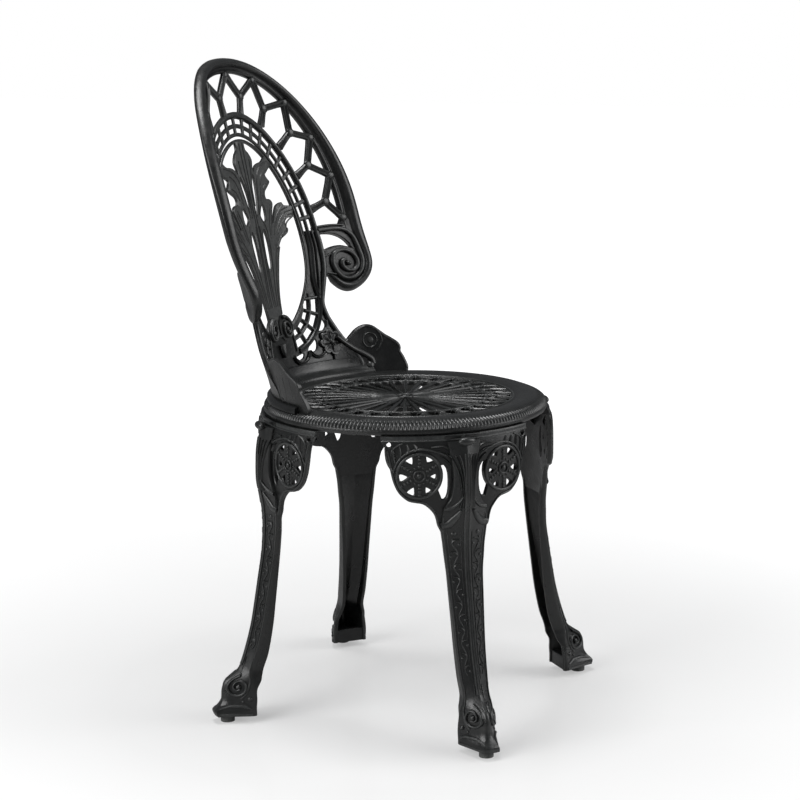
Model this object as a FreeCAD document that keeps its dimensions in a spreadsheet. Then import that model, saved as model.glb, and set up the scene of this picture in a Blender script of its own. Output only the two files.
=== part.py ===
import FreeCAD, Part
import math
import os

import Sketcher

# A cast garden chair: a round pierced seat on four cast legs, and a tall oval pierced back whose foot stands
# on the rear of the seat rim. Millimetres. The front of the chair faces -Y, the sitter's left is +X, Z is up
# and the floor is z = 0, under the centre of the seat.

doc = FreeCAD.newDocument("garden_chair")
sheet = doc.addObject("Spreadsheet::Sheet", "Sizes")

# Driving sizes, one value each
SIZES = [
    # Whole chair
    ("setback", 34.1, "distance from the seat's middle back to the middle of the whole chair"),
    # Seat casting
    ("seat_top", 444.0, "height of the flat seat rim above the floor"),
    ("seat_radius", 200.0, "outer radius of the seat"),
    ("rim_deck", 8.0, "thickness of the flat rim"),
    ("rim_drop", 16.0, "height of the down-turned skirt of the rim"),
    ("skirt_wall", 4.5, "wall of that skirt"),
    ("rim_edge", 2.5, "chamfer at the rim's upper edge"),
    ("field_radius", 151.0, "radius of the pierced field"),
    ("field_deck", 6.0, "thickness of the pierced field"),
    ("field_sink", 1.0, "how far the pierced field lies under the rim"),
    ("bead_width", 4.0, "width of the raised bead round the field"),
    ("bead_rise", 1.2, "height of that bead above the rim"),
    ("hub_radius", 52.0, "radius of the solid hub"),
    ("hub_rise", 1.5, "height of the hub above the field"),
    ("spoke_count", 32.0, "spokes round the hub"),
    ("spoke_width", 5.5, "width of a spoke"),
    ("arch_radius", 112.0, "outer end of the long windows"),
    ("ring_width", 5.0, "ring outside the long windows"),
    ("fork_radius", 130.0, "where a lattice stem forks"),
    ("lattice_bar", 4.6, "width of the bars in the seat lattice"),
    # Leg castings
    ("leg_reach", 207.0, "outer radius of the bracket skirt under the seat"),
    ("leg_wall", 6.0, "wall of the leg casting"),
    ("bracket_angle", 31.5, "half the angle that one bracket spans"),
    ("rail_height", 7.0, "height of the rail along the bracket's top"),
    ("rail_inset", 10.0, "how far the rail reaches in under the seat rim"),
    ("rail_proud", 2.0, "how far the rail stands out of the bracket"),
    ("wheel_angle", 17.2, "angle from the leg's corner to a wheel's centre"),
    ("wheel_height", 375.0, "height of the wheel's centre"),
    ("wheel_hub", 16.0, "radius of the wheel's solid middle"),
    ("wheel_rim", 26.0, "inner radius of the wheel's rim"),
    ("wheel_arm", 12.0, "width of the six arms of the wheel"),
    ("tip_hole", 3.4, "radius of the small opening at the bracket's tip"),
    ("foot_height", 10.0, "underside of the leg's foot above the floor"),
    ("foot_plate", 5.0, "thickness of the foot's sole"),
    ("foot_rise", 7.5, "how far the foot's lower edge rises from the toe to the flanges' edges"),
    ("glide_boss", 34.0, "height of the boss in the foot's corner that holds the glide"),
    ("knob_length", 24.0, "length of the oval knob at the top of the corner"),
    ("knob_radius", 6.0, "radius of that knob at its middle"),
    ("knob_reach", 217.0, "distance of that knob from the chair's axis"),
    ("knob_height", 420.0, "height of that knob"),
    ("lug_depth", 50.0, "how far the bolting lug reaches in from the skirt"),
    ("lug_width", 52.0, "width of the bolting lug"),
    ("lug_plate", 6.0, "thickness of the bolting lug"),
    # Glides
    ("glide_reach", 275.8, "distance of a glide from the chair's axis"),
    ("glide_radius", 10.0, "radius of the glide's pad"),
    ("glide_stem", 3.8, "radius of the glide's stem"),
    ("glide_stem_height", 12.0, "length of that stem above the pad"),
    ("stem_clearance", 0.2, "gap round the stem in the sole"),
    # Leg fasteners
    ("leg_bolt_reach", 172.0, "distance of a leg bolt from the chair's axis, along the leg's middle"),
    ("leg_bolt_spread", 28.0, "distance between the two bolts of a leg"),
    ("leg_bolt_radius", 4.0, "radius of a leg bolt's shank"),
    ("leg_bolt_grip", 18.0, "length of that shank"),
    ("leg_head_flats", 13.0, "width across the flats of its head"),
    ("leg_head_height", 5.3, "height of its head"),
    ("leg_washer_radius", 8.0, "radius of its washer"),
    ("leg_washer_thick", 1.6, "thickness of its washer"),
    ("leg_boss_radius", 9.0, "radius of the seat's boss over that bolt"),
    ("bolt_clearance", 0.3, "gap round a shank in its hole"),
    # Back fasteners
    ("back_bolt_reach", 190.0, "distance of a back bolt from the chair's axis"),
    ("back_bolt_inner", 20.0, "angle of the inner pair from the rear"),
    ("back_bolt_outer", 58.0, "angle of the outer pair from the rear"),
    ("back_bolt_radius", 2.5, "radius of a back bolt's shank"),
    ("back_bolt_grip", 16.0, "length of that shank"),
    ("back_head_flats", 8.0, "width across the flats of its head"),
    ("back_head_height", 3.5, "height of its head"),
    ("back_washer_radius", 5.0, "radius of its washer"),
    ("back_washer_thick", 1.0, "thickness of its washer"),
    # Back casting
    ("back_top", 914.0, "top of the back above the floor"),
    ("back_half_width", 196.5, "half the width of the oval rim"),
    ("oval_centre", 678.0, "height where the oval rim is widest"),
    ("oval_power", 2.15, "power of the rim's outer curve, 2 being an ellipse"),
    ("rim_side", 26.0, "width of the rim at its sides"),
    ("rim_crown", 22.0, "width of the rim at its top"),
    ("rim_depth", 14.0, "depth of the rim, front to rear"),
    ("rim_stand", 4.0, "how far the rim stands in front of the lattice"),
    ("panel_depth", 5.5, "depth of the pierced panel, front to rear"),
    ("panel_stand", 0.6, "how far the pierced band stands in front of the lattice bars"),
    ("leaf_depth", 7.0, "depth of the leaf spray, front to rear"),
    ("leaf_stand", 1.5, "how far the leaf spray stands in front of the lattice"),
    ("bar_width", 7.0, "width of the bars in the upper lattice"),
    ("band_centre", 655.0, "height where the oval band is widest"),
    ("band_half_width", 129.5, "half the width of the oval band"),
    ("band_top", 838.0, "top of the oval band"),
    ("opening_half_width", 92.0, "half the width of the oval opening"),
    ("opening_top", 795.0, "top of the oval opening"),
    ("opening_bottom", 520.0, "bottom of the oval opening"),
    ("band_bead", 7.5, "width of the band's outer and inner beads"),
    ("band_web", 5.5, "width of the bead between the two rows of small openings"),
    ("band_cells", 10.0, "small openings in each row, from the top of the band to its side"),
    ("band_bar", 5.5, "width of the bars between the small openings"),
    ("fan_x", 30.0, "distance of the lower openings' common centre from the middle"),
    ("fan_z", 562.0, "height of that centre"),
    ("fan_step", 20.5, "angle between the bars of the lower openings"),
    ("scroll_radius", 19.0, "radius of the pair of scrolls at the leaf's foot"),
    ("scroll_spread", 20.0, "distance of those scrolls from the middle"),
    ("scroll_height", 526.0, "height of those scrolls"),
    ("foot_radius", 186.2, "radius of the foot's front face on the seat"),
    ("foot_lean", 0.19, "outward lean of the foot and wings"),
    ("foot_wall", 9.4, "wall of the foot and wings"),
    ("foot_flange", 12.0, "how far the foot's flange reaches in over the seat rim"),
    ("foot_flange_height", 6.0, "height of that flange"),
    ("wing_top", 516.0, "top of the wing's scroll"),
]
for row, (alias, value, note) in enumerate(SIZES, start=1):
    sheet.set("A%d" % row, note)
    sheet.set("B%d" % row, str(value))
    sheet.setAlias("B%d" % row, alias)
doc.recompute()


def size(alias):
    """Value of one driving size."""
    return float(sheet.get(alias))


LEG_ANGLES = {"front_right": 225.0, "front_left": 315.0, "rear_right": 135.0, "rear_left": 45.0}
parts = []


def keep(obj, label):
    """Names a finished sub-part and puts it on the list to export."""
    obj.Label = label
    if obj.isDerivedFrom("Part::Feature") and not obj.ExpressionEngine:
        obj.setExpression("Placement.Base.y", "-Sizes.setback")
    parts.append(obj)
    return obj


def bind(obj, name, expression):
    """Ties one property of an object to the sheet."""
    obj.setExpression(name, expression)


# Sketch helpers

def plane_of(body, role):
    """Origin plane of a body, found by its role."""
    for feature in body.Origin.OriginFeatures:
        if feature.Role == role:
            return feature
    raise ValueError(role)


def new_sketch(body, name, role, height=None):
    """Empty sketch on an origin plane of the body, raised along its normal by an expression."""
    sketch = body.newObject("Sketcher::SketchObject", name)
    sketch.AttachmentSupport = [(plane_of(body, role), "")]
    sketch.MapMode = "FlatFace"
    if height:
        bind(sketch, ".AttachmentOffset.Base.z", height)
    return sketch


def pin_point(sketch, geo, pos, axis, expression):
    """Fixes one coordinate of a sketch point to an expression."""
    value = sketch.evalExpression(expression)
    value = float(getattr(value, "Value", value))
    if abs(value) < 1e-9:
        line = -2 if axis == "DistanceX" else -1
        sketch.addConstraint(Sketcher.Constraint("PointOnObject", geo, pos, line))
        return
    index = sketch.addConstraint(Sketcher.Constraint(axis, -1, 1, geo, pos, value))
    sketch.setExpression("Constraints[%d]" % index, expression)


def corner_values(sketch, corners):
    """Numbers of the corner expressions, for the first drawing of the sketch."""
    numbers = []
    for pair in corners:
        point = []
        for text in pair:
            value = sketch.evalExpression(text)
            point.append(float(getattr(value, "Value", value)))
        numbers.append(FreeCAD.Vector(point[0], point[1], 0))
    return numbers


def closed_outline(sketch, corners):
    """Closed outline of straight sides through corners given as expressions."""
    points = corner_values(sketch, corners)
    count = len(points)
    first = sketch.GeometryCount
    for i in range(count):
        sketch.addGeometry(Part.LineSegment(points[i], points[(i + 1) % count]), False)
    for i in range(count):
        geo = first + i
        previous = first + (i - 1) % count
        sketch.addConstraint(Sketcher.Constraint("Coincident", previous, 2, geo, 1))
        pin_point(sketch, geo, 1, "DistanceX", corners[i][0])
        pin_point(sketch, geo, 1, "DistanceY", corners[i][1])


def circle_at(sketch, x, y, radius):
    """Circle in a sketch, its centre and radius given as expressions."""
    centre = corner_values(sketch, [(x, y)])[0]
    value = sketch.evalExpression(radius)
    value = float(getattr(value, "Value", value))
    geo = sketch.addGeometry(Part.Circle(centre, FreeCAD.Vector(0, 0, 1), value), False)
    index = sketch.addConstraint(Sketcher.Constraint("Radius", geo, value))
    sketch.setExpression("Constraints[%d]" % index, radius)
    pin_point(sketch, geo, 3, "DistanceX", x)
    pin_point(sketch, geo, 3, "DistanceY", y)


def polar_copies(body, name, features, sketch, count):
    """Copies features round the body's vertical axis."""
    pattern = body.newObject("PartDesign::PolarPattern", name)
    pattern.Originals = features
    pattern.Axis = (sketch, ["N_Axis"])
    pattern.Angle = 360
    bind(pattern, "Occurrences", count)
    body.Tip = pattern
    return pattern


# Seat: a revolved plate with a down-turned rim, pierced round its hub

def build_seat():
    """The seat casting."""
    body = doc.addObject("PartDesign::Body", "SeatBody")
    top = "Sizes.seat_top"
    under = top + " - Sizes.rim_deck"
    field_top = top + " - Sizes.field_sink"
    field_under = field_top + " - Sizes.field_deck"
    skirt_inside = "Sizes.seat_radius - Sizes.skirt_wall"
    foot = top + " - Sizes.rim_drop"
    profile = new_sketch(body, "SeatProfile", "XZ_Plane")
    closed_outline(profile, [
        ("0", field_under),
        ("Sizes.field_radius", field_under),
        ("Sizes.field_radius", under),
        (skirt_inside, under),
        (skirt_inside, foot),
        ("Sizes.seat_radius - Sizes.rim_edge", foot),
        ("Sizes.seat_radius", foot + " + Sizes.rim_edge"),
        ("Sizes.seat_radius", top + " - Sizes.rim_edge"),
        ("Sizes.seat_radius - Sizes.rim_edge", top),
        ("Sizes.field_radius + Sizes.bead_width + 1", top),
        ("Sizes.field_radius + Sizes.bead_width", top + " + Sizes.bead_rise"),
        ("Sizes.field_radius + 1", top + " + Sizes.bead_rise"),
        ("Sizes.field_radius", field_top),
        ("Sizes.hub_radius + 1", field_top),
        ("Sizes.hub_radius", field_top + " + Sizes.hub_rise"),
        ("0", field_top + " + Sizes.hub_rise"),
    ])
    turned = body.newObject("PartDesign::Revolution", "SeatTurned")
    turned.Profile = profile
    turned.ReferenceAxis = (profile, ["V_Axis"])
    turned.Angle = 360
    profile.Visibility = False

    # One long window between two spokes, its outer end a small arch of four sides
    half_step = "(180 deg / Sizes.spoke_count)"
    window = new_sketch(body, "SpokeWindow", "XY_Plane", top)
    inner_half = "((Sizes.hub_radius + 2) * tan" + half_step + " - Sizes.spoke_width / 2)"
    outer_half = "(Sizes.arch_radius * tan" + half_step + " - Sizes.spoke_width / 2)"
    arch_start = "(Sizes.arch_radius - " + outer_half + ")"
    arch_side = "(" + arch_start + " + " + outer_half + " * sin(45 deg))"
    arch_half = "(" + outer_half + " * cos(45 deg))"
    closed_outline(window, [
        ("Sizes.hub_radius + 2", "-" + inner_half),
        (arch_start, "-" + outer_half),
        (arch_side, "-" + arch_half),
        ("Sizes.arch_radius", "0"),
        (arch_side, arch_half),
        (arch_start, outer_half),
        ("Sizes.hub_radius + 2", inner_half),
    ])

    # Two lattice openings: a house shape between two stems and a triangle at the rim over a fork
    lattice = new_sketch(body, "LatticeOpenings", "XY_Plane", top)
    near = "(Sizes.arch_radius + Sizes.ring_width)"
    far = "(Sizes.field_radius - 1.5)"
    stem_near = "(" + near + " * tan" + half_step + " - Sizes.lattice_bar / 2)"
    fork_near = "(Sizes.fork_radius - Sizes.lattice_bar * 0.6)"
    stem_far = "(" + fork_near + " * tan" + half_step + " - Sizes.lattice_bar / 2)"
    closed_outline(lattice, [
        (near, "-" + stem_near),
        (fork_near, "-" + stem_far),
        (far + " - Sizes.lattice_bar * 1.1", "0"),
        (fork_near, stem_far),
        (near, stem_near),
    ])
    # The triangle lies on the stem's own ray, half a step round from the house shape
    cos_half = "cos" + half_step
    sin_half = "sin" + half_step
    apex = "(Sizes.fork_radius + Sizes.lattice_bar * 1.1)"
    wide = "(" + far + " * tan" + half_step + " - Sizes.lattice_bar * 0.75)"
    closed_outline(lattice, [
        (apex + " * " + cos_half, apex + " * " + sin_half),
        (far + " * " + cos_half + " + " + wide + " * " + sin_half,
         far + " * " + sin_half + " - " + wide + " * " + cos_half),
        (far + " * " + cos_half + " - " + wide + " * " + sin_half,
         far + " * " + sin_half + " + " + wide + " * " + cos_half),
    ])
    cuts = []
    for name, sketch in (("SpokeCut", window), ("LatticeCut", lattice)):
        cut = body.newObject("PartDesign::Pocket", name)
        cut.Profile = sketch
        cut.Midplane = True
        bind(cut, "Length", "Sizes.rim_deck * 4")
        cuts.append(cut)
    polar_copies(body, "PiercedField", cuts, window, "Sizes.spoke_count")

    # Bosses under the rim for the leg bolts, two to a leg, with their blind holes
    boss_sketch = new_sketch(body, "LegBosses", "XY_Plane", foot)
    hole_sketch = new_sketch(body, "LegBoltHoles", "XY_Plane", foot)
    for sign in (-1, 1):
        across = "%d * Sizes.leg_bolt_spread / 2" % sign
        x = "Sizes.leg_bolt_reach * cos(45 deg) - " + across + " * sin(45 deg)"
        y = "Sizes.leg_bolt_reach * sin(45 deg) + " + across + " * cos(45 deg)"
        circle_at(boss_sketch, x, y, "Sizes.leg_boss_radius")
        circle_at(hole_sketch, x, y, "Sizes.leg_bolt_radius + Sizes.bolt_clearance")
    boss = body.newObject("PartDesign::Pad", "LegBossPad")
    boss.Profile = boss_sketch
    bind(boss, "Length", "Sizes.rim_drop - Sizes.rim_deck / 2")
    hole = body.newObject("PartDesign::Pocket", "LegBoltCut")
    hole.Profile = hole_sketch
    hole.Reversed = True
    bind(hole, "Length", "Sizes.leg_bolt_grip - Sizes.lug_plate - Sizes.leg_washer_thick + 1.5")
    polar_copies(body, "LegBossCopies", [boss, hole], boss_sketch, "4")

    # Through holes for the back bolts
    back_sketch = new_sketch(body, "BackBoltHoles", "XY_Plane", top)
    for angle in ("Sizes.back_bolt_inner", "Sizes.back_bolt_outer"):
        for sign in (-1, 1):
            circle_at(back_sketch, "%d * Sizes.back_bolt_reach * sin(%s * 1 deg)" % (sign, angle),
                      "Sizes.back_bolt_reach * cos(%s * 1 deg)" % angle,
                      "Sizes.back_bolt_radius + Sizes.bolt_clearance")
    back_cut = body.newObject("PartDesign::Pocket", "BackBoltCut")
    back_cut.Profile = back_sketch
    back_cut.Midplane = True
    bind(back_cut, "Length", "Sizes.rim_deck * 4")
    body.Tip = back_cut
    return keep(body, "seat")


build_seat()


# Plan curves of the back, drawn in the X-Z plane and cut through along Y

# Heights of the back with the distance of its middle from the chair's axis and the radius of its hollow
BACK_STATIONS = [
    (430.0, 184.3, 184.3), (444.0, 187.0, 187.0), (470.0, 191.8, 196.0), (494.0, 196.0, 220.0),
    (520.0, 198.2, 250.0), (560.0, 200.6, 280.0), (600.0, 206.8, 294.0), (650.0, 219.4, 300.0),
    (700.0, 231.8, 300.0), (800.0, 253.9, 300.0), (913.0, 274.5, 300.0), (930.0, 277.4, 300.0),
]


def eased(stations, z, column):
    """Smooth value of one column of a station list at a height."""
    heights = [row[0] for row in stations]
    last = len(stations) - 2
    i = 0
    while i < last and z > heights[i + 1]:
        i += 1

    def slope(k):
        """Slope at a station from its two neighbours."""
        low = max(k - 1, 0)
        high = min(k + 1, len(stations) - 1)
        return (stations[high][column] - stations[low][column]) / (heights[high] - heights[low])

    span = heights[i + 1] - heights[i]
    t = (z - heights[i]) / span
    start = stations[i][column]
    end = stations[i + 1][column]
    return (start * (2 * t ** 3 - 3 * t ** 2 + 1) + slope(i) * span * (t ** 3 - 2 * t ** 2 + t)
            + end * (3 * t ** 2 - 2 * t ** 3) + slope(i + 1) * span * (t ** 3 - t ** 2))


def back_y(x, z, behind):
    """Y of the back's hollow at a place in plan, a given distance behind its front face."""
    hollow = eased(BACK_STATIONS, z, 2)
    radius = hollow + behind
    limit = 0.75 * hollow
    inside = min(abs(x), limit)
    root = math.sqrt(radius ** 2 - inside ** 2)
    steep = -inside / root * (abs(x) - inside)
    return eased(BACK_STATIONS, z, 1) - hollow + root + steep


def hollow_skin(behind, z_low, z_high, margin):
    """Smooth skin a given distance behind the front face of the back."""
    rows = []
    for i in range(18):
        z = z_low - margin + (z_high - z_low + 2 * margin) * i / 17
        row = []
        for j in range(19):
            x = (-205 - margin) + (410 + 2 * margin) * j / 18
            row.append(FreeCAD.Vector(x, back_y(x, z, behind), z))
        rows.append(row)
    surface = Part.BSplineSurface()
    surface.interpolate(rows)
    return surface.toShape()


def hollow_slab(stand, depth, z_low, z_high):
    """Slab that follows the back's hollow, standing in front of the lattice by a given distance."""
    front = hollow_skin(-stand, z_low, z_high, 0).extrude(FreeCAD.Vector(0, 60, 0))
    rear = hollow_skin(depth - stand, z_low, z_high, 4).extrude(FreeCAD.Vector(0, 90, 0))
    return front.cut(rear)


def in_plan(x, z):
    """Point of a drawing in the X-Z plane."""
    return FreeCAD.Vector(x, 0, z)


def polygon_wire(points):
    """Closed straight-sided wire through plan points."""
    vectors = [in_plan(x, z) for x, z in points]
    return Part.makePolygon(vectors + [vectors[0]])


def smooth_edge(points):
    """Smooth edge through plan points."""
    curve = Part.BSplineCurve()
    curve.interpolate([in_plan(x, z) for x, z in points])
    return curve.toShape()


def joined_wire(runs):
    """Closed wire from runs of plan points; a run of two is straight, a longer one is smooth."""
    edges = []
    for run in runs:
        if len(run) == 2:
            edges.append(Part.makeLine(in_plan(*run[0]), in_plan(*run[1])))
        else:
            edges.append(smooth_edge(run))
    return Part.Wire(edges)


def mirrored(points):
    """Plan points on the other side of the middle, in reverse order."""
    return [(-x, z) for x, z in reversed(points)]


def both_sides(points):
    """A plan polygon and its mirror image."""
    return [polygon_wire(points), polygon_wire(mirrored(points))]


def prism(wires):
    """Prism along Y from an outer wire and the wires of its openings."""
    face = Part.makeFace(wires, "Part::FaceMakerBullseye")
    return face.extrude(FreeCAD.Vector(0, 340, 0))


def super_curve(half_width, rise, centre, power, start, end, count):
    """Points of an oval of a given power; angle 0 is its top and 90 its side."""
    points = []
    for i in range(count + 1):
        angle = math.radians(start + (end - start) * i / count)
        x = half_width * abs(math.sin(angle)) ** (2 / power) * (1 if math.sin(angle) >= 0 else -1)
        z = centre + rise * abs(math.cos(angle)) ** (2 / power) * (1 if math.cos(angle) >= 0 else -1)
        points.append((x, z))
    return points


def even_angles(half_width, rise, cells):
    """Angles that part a quarter of an ellipse, from its top, in lengths that are alike."""
    steps = 720
    lengths = [0.0]
    for i in range(steps):
        a = math.pi / 2 * i / steps
        b = math.pi / 2 * (i + 1) / steps
        dx = half_width * (math.sin(b) - math.sin(a))
        dz = rise * (math.cos(b) - math.cos(a))
        lengths.append(lengths[-1] + math.hypot(dx, dz))
    angles = []
    for k in range(cells + 1):
        goal = lengths[-1] * k / cells
        index = min(range(steps + 1), key=lambda n: abs(lengths[n] - goal))
        angles.append(90.0 * index / steps)
    return angles


def inset_polygon(points, insets):
    """Polygon whose sides are moved inwards, each by its own distance."""
    count = len(points)
    area = sum(points[i][0] * points[(i + 1) % count][1] - points[(i + 1) % count][0] * points[i][1]
               for i in range(count))
    turn = 1 if area > 0 else -1
    lines = []
    for i in range(count):
        x0, z0 = points[i]
        x1, z1 = points[(i + 1) % count]
        length = math.hypot(x1 - x0, z1 - z0)
        nx = -(z1 - z0) / length * turn
        nz = (x1 - x0) / length * turn
        lines.append((nx, nz, nx * x0 + nz * z0 + insets[i]))
    result = []
    for i in range(count):
        a0, b0, c0 = lines[i - 1]
        a1, b1, c1 = lines[i]
        det = a0 * b1 - a1 * b0
        if abs(det) < 0.03:
            x0, z0 = points[i]
            result.append((x0 + a1 * insets[i], z0 + b1 * insets[i]))
        else:
            result.append(((c0 * b1 - c1 * b0) / det, (a0 * c1 - a1 * c0) / det))
    return result


# Rim of the back: one tapering hoop that ends in a volute at each side
def rim_part():
    """Hoop and volutes, cut from the thick slab."""
    half = size("back_half_width")
    centre = size("oval_centre")
    outer = super_curve(half, size("back_top") - centre, centre, size("oval_power"), 0, 92, 12)
    outer += [(195.2, 645.0), (194.3, 625.0), (192.0, 604.0), (184.0, 584.5), (171.4, 571.5), (156.0, 564.8),
              (143.0, 569.0), (132.0, 580.5), (122.0, 588.5)]
    volute_top = [(122.0, 618.0), (131.0, 627.0), (143.5, 633.0), (156.0, 633.8), (164.0, 631.5),
                  (171.3, 628.5)]
    gap_top = [(171.3, 628.5), (166.0, 640.0), (156.5, 648.0), (143.5, 651.5), (124.0, 651.5)]
    arch_top = [(124.0, 662.0), (138.0, 664.0), (150.0, 664.0), (165.5, 661.5)]
    inner = super_curve(half - size("rim_side"), size("back_top") - size("rim_crown") - centre, centre, 2.25,
                        93, 0, 12)
    outer[0] = (0.0, size("back_top"))
    inner[0] = (165.5, 661.5)
    runs = [outer, [outer[-1], volute_top[0]], volute_top, gap_top, [gap_top[-1], arch_top[0]], arch_top]
    right = joined_wire(runs + [inner, [inner[-1], outer[0]]])
    ring = prism([right])
    slab = hollow_slab(size("rim_stand"), size("rim_depth"), 540, 925)
    right_part = slab.common(ring)
    left_part = right_part.mirror(FreeCAD.Vector(0, 0, 0), FreeCAD.Vector(1, 0, 0))
    return right_part.fuse(left_part)


# Upper lattice: stems that rise from the band and fork to the rim
FORKS = [(30.6, 858.4), (79.8, 837.7), (120.0, 801.0), (138.2, 752.6), (152.7, 697.8)]
JOINTS = [(0.0, 893.0), (66.0, 881.5), (121.0, 846.0), (152.5, 793.0), (169.5, 736.0), (174.0, 673.0)]
STEMS = [(23.7, 833.0), (69.0, 815.0), (97.5, 783.0), (117.5, 739.0), (126.0, 688.0)]


def lattice_part():
    """Bars between rim and band, the openings cut out of a sheet."""
    half = size("back_half_width") - size("rim_side") / 2
    centre = size("oval_centre")
    rise = size("back_top") - size("rim_crown") / 2 - centre
    edge = super_curve(half, rise, centre, 2.2, -96, 96, 24)
    inner = super_curve(size("band_half_width") - 6, size("band_top") - 6 - size("band_centre"),
                        size("band_centre"), 2, 93, -93, 20)
    outline = joined_wire([edge, [edge[-1], inner[0]], inner, [inner[-1], edge[0]]])
    bar = size("bar_width") / 2
    forks = mirrored(FORKS) + FORKS
    stems = mirrored(STEMS) + STEMS
    joints = mirrored(JOINTS[1:]) + JOINTS
    openings = []
    for i in range(len(forks) - 1):
        # House-shaped opening between two stems, its foot just under the band's edge
        middle = ((stems[i][0] + stems[i + 1][0]) / 2 * 1.01, (stems[i][1] + stems[i + 1][1]) / 2 + 1.5)
        cell = [stems[i], forks[i], joints[i + 1], forks[i + 1], stems[i + 1], middle]
        openings.append(polygon_wire(inset_polygon(cell, [bar, bar, bar, bar, -0.5, -0.5])))
    for i in range(len(forks)):
        # Triangle between a fork and the rim
        a = joints[i]
        b = joints[i + 1]
        out = ((a[0] + b[0]) / 2 * 1.035, centre + ((a[1] + b[1]) / 2 - centre) * 1.035)
        cell = [a, out, b, forks[i]]
        openings.append(polygon_wire(inset_polygon(cell, [-2.0, -2.0, bar, bar])))
    last = [STEMS[4], FORKS[4], JOINTS[5], (168.0, 657.0), (127.0, 657.0)]
    openings += [polygon_wire(p) for p in (inset_polygon(last, [bar, bar, 0, 0, -0.5]),
                                           inset_polygon(mirrored(last), [0, 0, bar, bar, -0.5]))]
    slab = hollow_slab(0, size("panel_depth") - 1, 600, 925)
    return slab.common(prism([outline] + openings))


def band_openings():
    """Small openings in two rows round the upper half of the oval band."""
    wires = []
    centre = size("band_centre")
    bead = size("band_bead")
    web = size("band_web") / 2
    outer_half = size("band_half_width")
    outer_rise = size("band_top") - centre
    inner_half = size("opening_half_width")
    inner_rise = size("opening_top") - centre
    middle_half = (outer_half + inner_half) / 2
    middle_rise = (outer_rise + inner_rise) / 2
    angles = even_angles(middle_half, middle_rise, int(size("band_cells")))
    spans = [(outer_half - bead, outer_rise - bead, middle_half + web, middle_rise + web),
             (middle_half - web, middle_rise - web, inner_half + bead, inner_rise + bead)]
    for i in range(len(angles) - 1):
        for out_half, out_rise, in_half, in_rise in spans:
            corners = []
            for half, rise, order in ((out_half, out_rise, (0, 1)), (in_half, in_rise, (1, 0))):
                for k in order:
                    angle = math.radians(angles[i + k])
                    corners.append((half * math.sin(angle), centre + rise * math.cos(angle)))
            bar = size("band_bar") / 2
            cell = inset_polygon(corners, [0, bar, 0, bar])
            wires += both_sides(cell)
    return wires


def fan_openings():
    """Small openings in two rows at each side of the oval's foot."""
    wires = []
    x0 = size("fan_x")
    z0 = size("fan_z")
    step = size("fan_step")
    bar = size("band_bar") / 2
    for k in range(4):
        for near, far in ((43.5, 52.0), (58.5, 69.5)):
            high = math.radians(-step * k)
            low = math.radians(-step * (k + 1))
            cell = [(x0 + near * math.cos(high), z0 + near * math.sin(high)),
                    (x0 + far * math.cos(high), z0 + far * math.sin(high)),
                    (x0 + far * math.cos(low), z0 + far * math.sin(low)),
                    (x0 + near * math.cos(low), z0 + near * math.sin(low))]
            wires += both_sides(inset_polygon(cell, [bar, 0, bar, 0]))
    return wires


def band_part():
    """Oval band, waist and foot: one sheet with the oval opening and all the small ones."""
    centre = size("band_centre")
    top = super_curve(size("band_half_width"), size("band_top") - centre, centre, 2, 0, 88, 10)
    side = [top[-1], (130.6, 640.0), (129.2, 616.0), (125.5, 594.0), (117.0, 569.0), (112.0, 551.0),
            (115.0, 533.0), (121.0, 517.0), (128.0, 498.0), (135.4, 478.0), (138.0, 460.0)]
    foot = size("seat_top") + 2
    right = top[:-1] + side
    left = mirrored(right)
    outline = joined_wire([right, [right[-1], (138.0, foot)], [(138.0, foot), (-138.0, foot)],
                           [(-138.0, foot), left[0]], left])
    opening_centre = size("opening_bottom") + 132
    upper = super_curve(size("opening_half_width"), size("opening_top") - opening_centre, opening_centre, 2,
                        -90, 90, 12)
    lower = super_curve(size("opening_half_width"), 132, opening_centre, 2, 90, 270, 12)
    opening = joined_wire([upper, lower])
    wires = [outline, opening] + band_openings() + fan_openings()
    # Three free openings at each side above the foot, round the small flower
    for hole in ([(101.5, 532.0), (106.0, 521.0), (99.5, 513.0), (87.0, 511.0), (90.5, 519.0)],
                 [(82.0, 505.0), (83.5, 496.0), (78.0, 486.0), (64.5, 488.0), (74.0, 499.0)],
                 [(35.0, 482.0), (54.0, 485.0), (52.5, 479.5), (44.0, 476.5)]):
        wires += both_sides(hole)
    stand = size("panel_stand")
    slab = hollow_slab(stand, size("panel_depth") + 1, 432, 860)
    return slab.common(prism(wires))


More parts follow.
